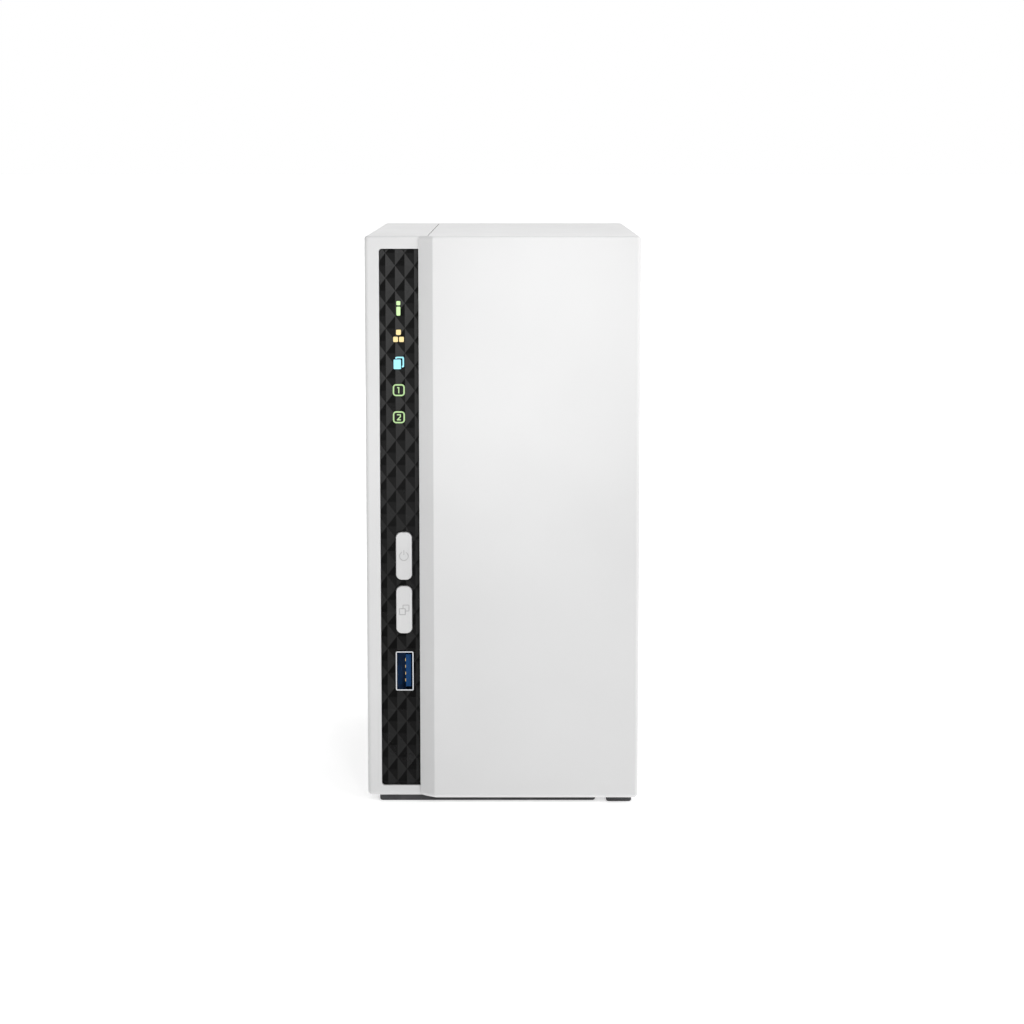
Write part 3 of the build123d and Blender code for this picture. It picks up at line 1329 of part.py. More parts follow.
with BuildPart() as cover_screws:
    with Locations(*screw_places(cover_screw_points, y_rear, "back")):
        add(make_screw(*cover_screw))
save(cover_screws.part, "cover_screws")

with BuildPart() as chassis_screws:
    with Locations(*screw_places(rear_panel_points, y_rear, "back")):
        add(make_screw(*machine_screw))
    with Locations(*screw_places(board_points, x_board, "right")):
        add(make_screw(*machine_screw))
    with Locations(*screw_places(cage_foot_points, cage_foot_height + sheet, "up")):
        add(make_screw(*machine_screw))
    with Locations(*screw_places(backplane_points, z_backplane, "up")):
        add(make_screw(*machine_screw))
save(chassis_screws.part, "chassis_screws")

with BuildPart() as fan_screws:
    with Locations(*screw_places(fan_points, y_rear, "back")):
        add(make_screw(*fan_screw))
save(fan_screws.part, "fan_screws")

# ---------------------------------------------------------------- fan

y_motor = (y_fan[1] - fan_strut_thickness, y_fan[1])  # motor base and struts, at the outlet
y_hub = (y_fan[0] + 1.0, y_motor[0] - fan_axial_gap)
hub_inner = fan_hub_radius - fan_hub_wall
bearing_y = (y_hub[0] + fan_hub_cap + 1.0, y_motor[0] + 1.5)


def around_fan(radius, y, turn):
    """A place at radius from the fan's axis, with its local x pointing outwards at turn degrees."""
    out = radians(turn)
    return Location((fan_x + radius * cos(out), y, fan_z + radius * sin(out)), (0, -turn, 0))


with BuildPart() as fan_frame:
    for span in ((y_fan[0], y_fan[0] + fan_flange), (y_fan[1] - fan_flange, y_fan[1])):
        with BuildPart(mode=Mode.PRIVATE) as flange:
            half = fan_size / 2
            box((fan_x - half, fan_x + half), span, (fan_z - half, fan_z + half))
            fillet(flange.edges().filter_by(Axis.Y), fan_corner_radius)
        add(flange.part)
    rod("Y", (fan_x, fan_z), y_fan, fan_duct_radius + fan_duct_wall)
    rod("Y", (fan_x, fan_z), (y_fan[0] - 1, y_fan[1] + 1), fan_duct_radius, Mode.SUBTRACT)
    # Motor base on four struts.
    rod("Y", (fan_x, fan_z), y_motor, fan_hub_radius + 1.0)
    for turn in fan_strut_turns:
        with Locations(around_fan((fan_hub_radius + fan_duct_radius) / 2, sum(y_motor) / 2, turn)):
            Box(fan_duct_radius - fan_hub_radius + 1.6, fan_strut_thickness, fan_strut_width)
    # Tube for the bearing.
    rod("Y", (fan_x, fan_z), (bearing_y[0] + 1.0, y_motor[0] + 0.5), bearing_tube_radius)
    rod("Y", (fan_x, fan_z), (y_fan[0], bearing_y[1]), bearing_radius + 0.02, Mode.SUBTRACT)
    for x, z in fan_points:
        rod("Y", (x, z), (y_fan[0] - 1, y_fan[1] + 1), fan_hole_radius, Mode.SUBTRACT)
save(fan_frame.part, "fan_frame")

with BuildPart() as fan_bearing:
    rod("Y", (fan_x, fan_z), bearing_y, bearing_radius)
    through = (bearing_y[0] - 1, bearing_y[1] + 1)
    rod("Y", (fan_x, fan_z), through, fan_shaft_radius + running_fit, Mode.SUBTRACT)
save(fan_bearing.part, "fan_bearing")

with BuildPart() as fan_stator:
    stator_y = (bearing_y[0] + 3.0, y_motor[0] - 1.5)
    stack = stator_y[1] - stator_y[0]
    rod("Y", (fan_x, fan_z), stator_y, stator_core_radius)
    for turn in range(0, 360, 90):
        with Locations(around_fan(stator_radius * 0.55, sum(stator_y) / 2, turn)):
            Box(stator_radius * 0.9, stack * 0.8, stator_tooth_width)
        with Locations(around_fan(stator_radius * 0.9, sum(stator_y) / 2, turn)):
            Box(stator_shoe_thickness, stack, stator_radius)
    rod("Y", (fan_x, fan_z), (stator_y[0] - 1, stator_y[1] + 1), bearing_tube_radius + 0.02, Mode.SUBTRACT)
    rod("Y", (fan_x, fan_z), (stator_y[1] - 0.5, y_motor[0]), bearing_tube_radius + 1.5)
    rod("Y", (fan_x, fan_z), (stator_y[1] - 1.0, y_motor[0] + 1), bearing_tube_radius + 0.02, Mode.SUBTRACT)
save(fan_stator.part, "fan_stator")


def make_blade():
    """One fan blade about a local Z axis: it twists from a steep root to a flatter tip."""
    with BuildPart(mode=Mode.PRIVATE) as blade:
        for radius, pitch, chord in fan_blade_sections:
            with BuildSketch(Plane(origin=(radius, 0, 0), x_dir=(0, 1, 0), z_dir=(1, 0, 0))):
                Rectangle(chord, fan_blade_thickness, rotation=pitch)
        loft(ruled=False)
        with BuildPart(mode=Mode.PRIVATE) as swept_ring:
            Cylinder(fan_tip, 60)
            Cylinder(fan_hub_radius - 0.5, 60, mode=Mode.SUBTRACT)
        add(swept_ring.part, mode=Mode.INTERSECT)
        Box(100, 100, y_hub[1] - y_hub[0] - 0.4, mode=Mode.INTERSECT)
    return blade.part


with BuildPart() as fan_rotor:
    rod("Y", (fan_x, fan_z), y_hub, fan_hub_radius)
    fillet(fan_rotor.edges().filter_by(GeomType.CIRCLE).sort_by(Axis.Y)[0], 1.5)
    rod("Y", (fan_x, fan_z), (y_hub[0] + fan_hub_cap, y_hub[1] + 1), hub_inner, Mode.SUBTRACT)
    rod("Y", (fan_x, fan_z), (y_hub[0] + 0.6, y_hub[1]), fan_shaft_radius, Mode.SUBTRACT)
    rotor_blade = make_blade()
    hub_middle = Location((fan_x, sum(y_hub) / 2, fan_z), (90, 0, 0))
    for n in range(fan_blades):
        with Locations(hub_middle * Location((0, 0, 0), (0, 0, n * 360 / fan_blades))):
            add(rotor_blade)
save(fan_rotor.part, "fan_rotor")

with BuildPart() as fan_shaft:
    rod("Y", (fan_x, fan_z), (y_hub[0] + 0.6, bearing_y[1] - 0.3), fan_shaft_radius)
save(fan_shaft.part, "fan_shaft")

# The lead leaves the duct between the flanges and runs to a connector on the mainboard.
lead_reach = fan_duct_radius + fan_duct_wall + 0.06
diagonal = cos(radians(45))
lead_start = (fan_x - lead_reach * diagonal, y_lead, fan_z - lead_reach * diagonal)
lead_turn = (fan_x - lead_far * diagonal, y_lead, fan_z - lead_far * diagonal)
lead_end = (lead_turn[0], y_fan[0] - lead_run, lead_turn[2])
lead_radius_of_bend = 0.45 * min(lead_far - lead_reach, y_lead - lead_end[1])
print("fan lead bend radius", round(lead_radius_of_bend, 2))

with BuildPart() as fan_cable:
    with BuildLine() as lead_path:
        FilletPolyline(lead_start, lead_turn, lead_end, radius=lead_radius_of_bend)
    with BuildSketch(Plane(origin=lead_start, z_dir=lead_path.line % 0)):
        Circle(lead_radius)
    sweep()
save(fan_cable.part, "fan_cable")

with BuildPart() as fan_connector:
    block_y = (lead_end[1] - fan_connector_size, lead_end[1] - 0.02)
    block_z = (lead_end[2] - fan_connector_size / 2, lead_end[2] + fan_connector_size / 2)
    box((x_board, lead_end[0] + 2.0), block_y, block_z)
    chamfer(fan_connector.edges().filter_by(Axis.Y), 0.5)
save(fan_connector.part, "fan_connector")
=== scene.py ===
"""Looks of a two-bay desktop network storage unit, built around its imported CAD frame.

Everything is in metres in the CAD's own frame: +X right seen from the front, +Y back, +Z up.
CAD nodes keep their shapes and get procedural materials. Mesh pieces add what is too fine for
CAD: the small parts of both circuit boards, labels on the drives and on the fan's hub, printed
signs beside the rear sockets and the two lamps of the Ethernet jack.
"""

import json
import math
import random

import bmesh
import bpy
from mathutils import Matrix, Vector


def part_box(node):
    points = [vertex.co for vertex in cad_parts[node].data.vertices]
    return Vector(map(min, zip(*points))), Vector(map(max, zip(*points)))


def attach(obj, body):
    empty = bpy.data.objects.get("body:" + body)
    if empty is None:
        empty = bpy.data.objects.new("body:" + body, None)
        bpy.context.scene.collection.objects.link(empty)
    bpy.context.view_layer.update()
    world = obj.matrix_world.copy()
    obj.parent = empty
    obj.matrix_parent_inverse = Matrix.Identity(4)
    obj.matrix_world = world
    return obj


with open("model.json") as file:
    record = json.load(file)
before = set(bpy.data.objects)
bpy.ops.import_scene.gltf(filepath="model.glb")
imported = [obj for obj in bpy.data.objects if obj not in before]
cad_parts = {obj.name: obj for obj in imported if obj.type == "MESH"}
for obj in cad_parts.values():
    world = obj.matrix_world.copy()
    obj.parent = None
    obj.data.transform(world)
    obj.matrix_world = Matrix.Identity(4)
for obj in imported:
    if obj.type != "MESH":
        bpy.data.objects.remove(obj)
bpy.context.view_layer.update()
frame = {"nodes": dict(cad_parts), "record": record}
cad = frame["nodes"]

MM = 0.001
HOUSING = "housing"


def middle_of(node):
    """The middle of a CAD node's box."""
    low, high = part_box(node)
    return Vector([(a + b) / 2 for a, b in zip(low, high)])


# ---------------------------------------------------------------- material helpers


class Shader:
    """A node material with a Principled shader, and short ways to add what feeds it."""

    def __init__(self, name, color, roughness, metallic=0.0, specular=0.5, coat=0.0, coat_roughness=0.1):
        self.material = bpy.data.materials.new(name)
        self.material.use_nodes = True
        self.tree = self.material.node_tree
        self.bsdf = self.tree.nodes["Principled BSDF"]
        self.color = color
        self.roughness = roughness
        self.set("Base Color", (*color, 1.0))
        self.set("Roughness", roughness)
        self.set("Metallic", metallic)
        self.set("Specular IOR Level", specular)
        self.set("Coat Weight", coat)
        self.set("Coat Roughness", coat_roughness)
        self.place = self.node("ShaderNodeTexCoord").outputs["Object"]

    def node(self, kind, **settings):
        made = self.tree.nodes.new(kind)
        for key, value in settings.items():
            setattr(made, key, value)
        return made

    def link(self, source, target):
        self.tree.links.new(source, target)

    def set(self, socket, value):
        self.bsdf.inputs[socket].default_value = value

    def feed(self, socket, source):
        self.link(source, self.bsdf.inputs[socket])

    def stretched(self, scale):
        """Coordinates scaled per axis, for grain that runs one way."""
        mapping = self.node("ShaderNodeMapping")
        mapping.inputs["Scale"].default_value = scale
        self.link(self.place, mapping.inputs["Vector"])
        return mapping.outputs["Vector"]

    def noise(self, size, detail=2.0, roughness=0.5, vector=None):
        """Noise with features about size metres across, from 0 to 1."""
        noise = self.node("ShaderNodeTexNoise")
        noise.inputs["Scale"].default_value = 1.0 / size
        noise.inputs["Detail"].default_value = detail
        noise.inputs["Roughness"].default_value = roughness
        self.link(vector or self.place, noise.inputs["Vector"])
        return noise.outputs["Fac"]

    def cells(self, size, output="Distance"):
        """Voronoi cells about size metres across."""
        voronoi = self.node("ShaderNodeTexVoronoi")
        voronoi.inputs["Scale"].default_value = 1.0 / size
        self.link(self.place, voronoi.inputs["Vector"])
        return voronoi.outputs[output]

    def axes(self, vector):
        """The X, Y and Z outputs of a vector."""
        split = self.node("ShaderNodeSeparateXYZ")
        self.link(vector, split.inputs["Vector"])
        return split.outputs

    def spread(self, source, low, high, start=0.35, end=0.65):
        """Maps start..end to low..high. Left out, start and end are the middle of a noise's range."""
        spread = self.node("ShaderNodeMapRange")
        spread.inputs["From Min"].default_value = start
        spread.inputs["From Max"].default_value = end
        spread.inputs["To Min"].default_value = low
        spread.inputs["To Max"].default_value = high
        self.link(source, spread.inputs["Value"])
        return spread.outputs["Result"]

    def math(self, operation, *values):
        """A Math node. Each value is a number or an output."""
        node = self.node("ShaderNodeMath", operation=operation)
        for socket, value in zip(node.inputs, values):
            if isinstance(value, (int, float)):
                socket.default_value = value
            else:
                self.link(value, socket)
        return node.outputs["Value"]

    def mix(self, factor, low, high):
        """A colour between low and high by factor. Each is a colour or an output."""
        mix = self.node("ShaderNodeMix", data_type="RGBA")
        self.link(factor, mix.inputs["Factor"])
        for name, value in (("A", low), ("B", high)):
            socket = next(s for s in mix.inputs if s.name == name and s.type == "RGBA")
            if isinstance(value, tuple):
                socket.default_value = (*value, 1.0)
            else:
                self.link(value, socket)
        return next(s for s in mix.outputs if s.type == "RGBA")

    def bump(self, height, distance, strength=1.0):
        """Relief of the given height in metres, on top of any relief fed before."""
        bump = self.node("ShaderNodeBump")
        bump.inputs["Strength"].default_value = strength
        bump.inputs["Distance"].default_value = distance
        self.link(height, bump.inputs["Height"])
        normal = self.bsdf.inputs["Normal"]
        if normal.is_linked:
            self.link(normal.links[0].from_socket, bump.inputs["Normal"])
        self.feed("Normal", bump.outputs["Normal"])

    def tint(self, size, amount, detail=2.0):
        """Slow uneven colour: the base colour, lighter and darker by amount."""
        low = tuple(c * (1 - amount) for c in self.color)
        high = tuple(min(1.0, c * (1 + amount)) for c in self.color)
        self.feed("Base Color", self.mix(self.spread(self.noise(size, detail), 0.0, 1.0), low, high))

    def wear(self, size, amount):
        """Uneven gloss: the base roughness, more and less by amount."""
        handled = self.noise(size, 4.0)
        self.feed("Roughness", self.spread(handled, self.roughness - amount, self.roughness + amount))


def grey(level):
    return (level, level, level)


def moulded(name, color, roughness, grain=0.35 * MM, depth=0.012 * MM, amount=0.02, specular=0.5):
    """Injection-moulded plastic with a spark-eroded grain and slow colour drift."""
    shader = Shader(name, color, roughness, specular=specular)
    shader.tint(60 * MM, amount)
    shader.wear(9 * MM, 0.035)
    shader.bump(shader.noise(grain, 3.0, 0.6), depth)
    return shader.material


def glossy(name, color, roughness):
    """Smooth moulded plastic with faint handling marks."""
    shader = Shader(name, color, roughness)
    shader.tint(30 * MM, 0.05)
    shader.wear(4 * MM, roughness * 0.35)
    shader.bump(shader.noise(14 * MM, 1.0), 0.01 * MM)
    return shader.material


def brushed(name, color, roughness, along=(1, 1, 0.04)):
    """Metal with fine lines along the axis whose scale is small."""
    shader = Shader(name, color, roughness, metallic=1.0)
    lines = shader.noise(0.25 * MM, 3.0, 0.6, shader.stretched(along))
    shader.tint(25 * MM, 0.06)
    shader.feed("Roughness", shader.spread(lines, roughness - 0.06, roughness + 0.08))
    shader.bump(lines, 0.006 * MM)
    return shader.material


def plated(name, color, roughness, spangle=3 * MM):
    """Zinc-plated or nickel-plated metal with a faint crystal pattern."""
    shader = Shader(name, color, roughness, metallic=1.0)
    value = shader.node("ShaderNodeRGBToBW")
    shader.link(shader.cells(spangle, "Color"), value.inputs["Color"])
    crystals = value.outputs["Val"]
    shader.feed("Base Color", shader.mix(crystals, tuple(c * 0.93 for c in color), color))
    shader.feed("Roughness", shader.spread(crystals, roughness - 0.03, roughness + 0.05, 0.0, 1.0))
    shader.bump(shader.noise(0.4 * MM, 2.0), 0.003 * MM)
    return shader.material


def printed(name, color, roughness):
    """Printed film: even, with the faint waviness of a sheet stuck down by hand."""
    shader = Shader(name, color, roughness)
    shader.tint(12 * MM, 0.03)
    shader.wear(8 * MM, 0.05)
    shader.bump(shader.noise(9 * MM, 2.0), 0.02 * MM)
    return shader.material


# ---------------------------------------------------------------- materials


def bezel_material():
    """Two-tone black strip of painted light: facets that lean right get a lighter base colour, a painted
    highlight, and the others a darker one, painted shade. Both tones darken downwards, painted shade.
    """
    shader = Shader("bezel_gloss_painted_light", grey(0.008), 0.30, specular=0.13)
    facing = shader.axes(shader.node("ShaderNodeTexCoord").outputs["Normal"])
    # Painted light by facing: facets whose normal leans right take the lighter tone, those that lean left the
    # darker one.
    leans_right = shader.spread(facing["X"], 0.0, 1.0, -0.02, 0.02)
    height = shader.axes(shader.place)["Z"]
    low_part = shader.spread(height, 0.0, 1.0, 55 * MM, 95 * MM)
    high_part = shader.spread(height, 0.0, 1.0, 85 * MM, 145 * MM)
    # Painted shade: the dark tone of the left-leaning facets, darker towards the bottom.
    painted_shade_tone = shader.mix(low_part, grey(0.0008), grey(0.0062))
    # Painted highlight: the lighter tone of the right-leaning facets, also darker towards the bottom as
    # painted shade.
    lighter_tone = shader.mix(high_part, grey(0.0145), grey(0.037))
    drift = shader.spread(shader.noise(20 * MM), 0.88, 1.0)
    shader.feed("Base Color", shader.mix(drift, painted_shade_tone, shader.mix(leans_right, painted_shade_tone, lighter_tone)))
    shader.wear(3 * MM, 0.03)
    shader.bump(shader.noise(0.25 * MM), 0.002 * MM)
    return shader.material


def key_material():
    """Satin white keys whose shallow symbols hold grey ink."""
    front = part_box("power_button")[0][1]
    ink_from, ink_to = front + 0.10 * MM, front + 0.13 * MM
    symbol_half_width = 2.0 * MM
    shader = Shader("key_white", grey(0.70), 0.38)
    lighter_tone = shader.mix(shader.spread(shader.noise(20 * MM), 0.0, 1.0), grey(0.66), grey(0.69))
    place = shader.axes(shader.place)
    sunk = shader.spread(place["Y"], 0.0, 1.0, ink_from, ink_to)
    across = shader.math("ABSOLUTE", shader.math("SUBTRACT", place["X"], middle_of("power_button").x))
    inside = shader.spread(across, 1.0, 0.0, symbol_half_width, symbol_half_width + 0.1 * MM)
    shader.feed("Base Color", shader.mix(shader.math("MULTIPLY", sunk, inside), lighter_tone, grey(0.52)))
    shader.wear(5 * MM, 0.03)
    shader.bump(shader.noise(0.25 * MM), 0.006 * MM)
    return shader.material


def sleeve_material():
    """Braided sleeve of the fan's lead: two families of threads that cross."""
    shader = Shader("lead_sleeve", grey(0.02), 0.55)
    waves = []
    for lean in (1.0, -1.0):
        wave = shader.node("ShaderNodeTexWave", bands_direction="DIAGONAL")
        wave.inputs["Scale"].default_value = 0.3 / (0.5 * MM)
        shader.link(shader.stretched((1, 1, lean)), wave.inputs["Vector"])
        waves.append(wave.outputs["Fac"])
    braid = shader.math("MAXIMUM", *waves)
    shader.feed("Base Color", shader.mix(braid, (0.006, 0.006, 0.007), (0.045, 0.045, 0.048)))
    shader.bump(braid, 0.06 * MM)
    return shader.material


def lit_material(name, color, strength):
    """A light guide lit from behind, a little uneven."""
    shader = Shader(name, tuple(c * 0.6 for c in color), 0.35)
    haze = shader.spread(shader.noise(0.9 * MM), 0.82, 1.0)
    shader.feed("Emission Color", shader.mix(haze, tuple(c * 0.8 for c in color), color))
    shader.set("Emission Strength", strength)
    shader.bump(shader.noise(0.3 * MM), 0.004 * MM)
    return shader.material


def board_material(name, color, flat="Z"):
    """Solder mask over copper tracks, with via dots. The board lies along Y and the flat axis."""
    shader = Shader(name, color, 0.33, specular=0.45, coat=0.2, coat_roughness=0.15)
    tracks = shader.node("ShaderNodeTexBrick", offset=0.5, squash=1.0)
    tracks.inputs["Scale"].default_value = 1.0 / (14 * MM)
    tracks.inputs["Mortar Size"].default_value = 0.03
    tracks.inputs["Mortar Smooth"].default_value = 0.2
    tracks.inputs["Brick Width"].default_value = 0.55
    tracks.inputs["Row Height"].default_value = 0.09
    place = shader.axes(shader.place)
    flattened = shader.node("ShaderNodeCombineXYZ")
    shader.link(place["Y"], flattened.inputs["X"])
    shader.link(place[flat], flattened.inputs["Y"])
    shader.link(flattened.outputs["Vector"], tracks.inputs["Vector"])
    copper = tuple(min(1.0, c * 1.9 + 0.015) for c in color)
    traced = shader.mix(tracks.outputs["Fac"], copper, color)
    vias = shader.spread(shader.cells(3.1 * MM), 1.0, 0.0, 0.10, 0.16)
    shader.feed("Base Color", shader.mix(vias, traced, (0.55, 0.5, 0.35)))
    shader.bump(tracks.outputs["Fac"], 0.03 * MM, 0.6)
    shader.bump(shader.noise(0.5 * MM, 3.0), 0.006 * MM)
    return shader.material


def rubber_material():
    """Dark rubber, matt and slightly dusty."""
    shader = Shader("foot_rubber", (0.056, 0.056, 0.058), 0.78, specular=0.3)
    shader.tint(6 * MM, 0.2, 4.0)
    shader.wear(2 * MM, 0.06)
    shader.bump(shader.noise(0.5 * MM, 4.0, 0.7), 0.04 * MM)
    return shader.material


def steel_panel_material():
    """Powder-coated steel: fine orange peel."""
    shader = Shader("panel_coat", (0.50, 0.51, 0.52), 0.42, metallic=0.25)
    shader.tint(40 * MM, 0.04)
    shader.wear(6 * MM, 0.05)
    shader.bump(shader.noise(0.8 * MM, 2.0, 0.4), 0.02 * MM)
    shader.bump(shader.noise(0.15 * MM, 1.0), 0.004 * MM)
    return shader.material


def cast_material():
    """Cast aluminium drive body: soft grain with darker pores."""
    shader = Shader("drive_casting", (0.42, 0.43, 0.44), 0.46, metallic=0.9)
    pores = shader.spread(shader.cells(0.8 * MM), 0.0, 1.0, 0.05, 0.35)
    shader.feed("Base Color", shader.mix(pores, (0.28, 0.285, 0.29), (0.46, 0.47, 0.48)))
    shader.wear(5 * MM, 0.06)
    shader.bump(shader.noise(0.6 * MM, 4.0, 0.6), 0.03 * MM)
    return shader.material


def winding_material():
    """Enamelled copper wire, wound close."""
    shader = Shader("enamelled_copper", (0.62, 0.24, 0.09), 0.32, metallic=0.85)
    lines = shader.noise(0.22 * MM, 1.0, 0.5, shader.stretched((1, 0.15, 1)))
    shader.feed("Base Color", shader.mix(lines, (0.42, 0.14, 0.05), (0.75, 0.33, 0.14)))
    shader.bump(lines, 0.05 * MM)
    return shader.material


MASK_GREEN = (0.010, 0.085, 0.045)
LAMP_GREEN = (0.52, 0.76, 0.36)

# One look for each of the record's material slots.
looks = {
    "white_shell": moulded("white_shell", grey(0.72), 0.42),
    "bezel_black": bezel_material(),
    "guide_green": lit_material("guide_green", LAMP_GREEN, 0.80),
    "guide_amber": lit_material("guide_amber", (0.76, 0.61, 0.29), 0.80),
    "guide_blue": lit_material("guide_blue", (0.32, 0.74, 0.85), 0.75),
    "key_white": key_material(),
    "foot_rubber": rubber_material(),
    "panel_steel": steel_panel_material(),
    "cage_steel": plated("zinc_sheet", (0.62, 0.63, 0.65), 0.36),
    "screw_steel": plated("zinc_screws", (0.58, 0.58, 0.60), 0.30, 1.2 * MM),
    "board_green": board_material("solder_mask", MASK_GREEN),
    "chip_black": moulded("chip_epoxy", (0.018, 0.018, 0.020), 0.55, 0.12 * MM, 0.008 * MM, 0.2),
    "heatsink_metal": brushed("anodised_fins", (0.50, 0.51, 0.54), 0.38),
    "can_metal": brushed("capacitor_sleeve", (0.20, 0.21, 0.26), 0.30, (0.05, 1, 1)),
    "ferrite_grey": moulded("ferrite", (0.06, 0.06, 0.065), 0.62, 0.2 * MM, 0.02 * MM, 0.15),
    "cell_steel": brushed("cell_steel", (0.66, 0.66, 0.67), 0.24),
    "connector_black": moulded("nylon_black", (0.016, 0.016, 0.018), 0.48, 0.2 * MM, 0.008 * MM, 0.2),
    "led_epoxy": glossy("led_epoxy", (0.70, 0.70, 0.60), 0.12),
    "port_shell": plated("nickel_shell", (0.66, 0.67, 0.69), 0.20, 1.0 * MM),
    "usb_blue": moulded("usb_blue", (0.002, 0.050, 0.17), 0.38, 0.2 * MM, 0.004 * MM, 0.08, 0.15),
    "contact_gold": plated("contact_gold", (0.83, 0.58, 0.22), 0.22, 0.6 * MM),
    "drive_cast": cast_material(),
    "drive_lid_steel": brushed("drive_lid_steel", (0.60, 0.61, 0.62), 0.27, (1, 1, 0.03)),
    "fan_black": moulded("fan_plastic", (0.020, 0.020, 0.022), 0.44, 0.3 * MM, 0.01 * MM, 0.2),
    "bush_bronze": plated("sintered_bronze", (0.48, 0.30, 0.12), 0.42, 0.5 * MM),
    "winding_copper": winding_material(),
    "lead_sleeve": sleeve_material(),
}

# Nodes that look a little different from the rest of their slot.
dim_lamp = lit_material("guide_green_dim", LAMP_GREEN, 0.42)
own_looks = {
    "drive_1_light_guide": dim_lamp,
    "drive_2_light_guide": dim_lamp,
    "backplane": board_material("solder_mask_flat", MASK_GREEN, "X"),
}

for part in frame["record"]["subparts"]:
    name = part["node"]
    slots = cad[name].data.materials
    slots.clear()
    slots.append(own_looks.get(name, looks[part["material_slot"]]))

solder = plated("solder", grey(0.70), 0.28, 0.5 * MM)
epoxy = moulded("part_epoxy", (0.022, 0.022, 0.024), 0.5, 0.12 * MM, 0.006 * MM, 0.2)
ceramic = moulded("part_ceramic", (0.36, 0.22, 0.12), 0.4, 0.2 * MM, 0.006 * MM, 0.15)
ink = moulded("part_ink", (0.62, 0.62, 0.60), 0.6, 0.2 * MM, 0.004 * MM, 0.1)
board_looks = [solder, epoxy, ceramic, ink]
SOLDER, EPOXY, CERAMIC, INK = range(len(board_looks))

label_film = printed("label_film", (0.80, 0.80, 0.78), 0.42)
label_ink = printed("label_ink", (0.04, 0.04, 0.045), 0.5)
label_band = printed("label_band", (0.05, 0.22, 0.12), 0.45)
label_looks = [label_film, label_ink, label_band]
FILM, PRINT, BAND = range(len(label_looks))


# ---------------------------------------------------------------- mesh helpers


class Pile:
    """Many small solids gathered in one mesh. Each takes one of the pile's materials by number."""

    def __init__(self):
        self.mesh = bmesh.new()

    def prism(self, corners, lift, material=0):
        """A solid from a flat loop of corners and the vector that lifts it."""
        lift = Vector(lift)
        base = [self.mesh.verts.new(corner) for corner in corners]
        top = [self.mesh.verts.new(Vector(corner) + lift) for corner in corners]
        faces = [self.mesh.faces.new(base[::-1]), self.mesh.faces.new(top)]
        for n in range(len(base)):
            after = (n + 1) % len(base)
            faces.append(self.mesh.faces.new((base[n], base[after], top[after], top[n])))
        for face in faces:
            face.material_index = material

    def block(self, low, high, material=0):
        (x0, y0, z0), (x1, y1, z1) = low, high
        self.prism([(x0, y0, z0), (x1, y0, z0), (x1, y1, z0), (x0, y1, z0)], (0, 0, z1 - z0), material)

    def disc(self, centre, axis, radius, thickness, material=0, inner=0.0, sides=48):
        """A disc, or a ring in sectors where inner is given, that stands up from centre along axis."""
        normal = Vector(axis)
        side = normal.orthogonal().normalized()
        up = normal.cross(side)

        def point(turn, reach):
            return Vector(centre) + reach * (math.cos(turn) * side + math.sin(turn) * up)

        turns = [math.tau * n / sides for n in range(sides)]
        if inner == 0.0:
            self.prism([point(turn, radius) for turn in turns], normal * thickness, material)
            return
        for n, turn in enumerate(turns):
            after = turns[(n + 1) % sides]
            corners = [point(turn, inner), point(turn, radius), point(after, radius), point(after, inner)]
            self.prism(corners, normal * thickness, material)

    def finish(self, name, body, slot, materials, bevel=0.0):
        """Makes the piece, which rides on body."""
        bmesh.ops.recalc_face_normals(self.mesh, faces=self.mesh.faces)
        data = bpy.data.meshes.new(name)
        self.mesh.to_mesh(data)
        self.mesh.free()
        piece = bpy.data.objects.new(name, data)
        bpy.context.scene.collection.objects.link(piece)
        for material in materials:
            data.materials.append(material)
        if bevel:
            rounding = piece.modifiers.new("rounding", "BEVEL")
            rounding.width = bevel
            rounding.segments = 2
            rounding.limit_method = "ANGLE"
        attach(piece, body)


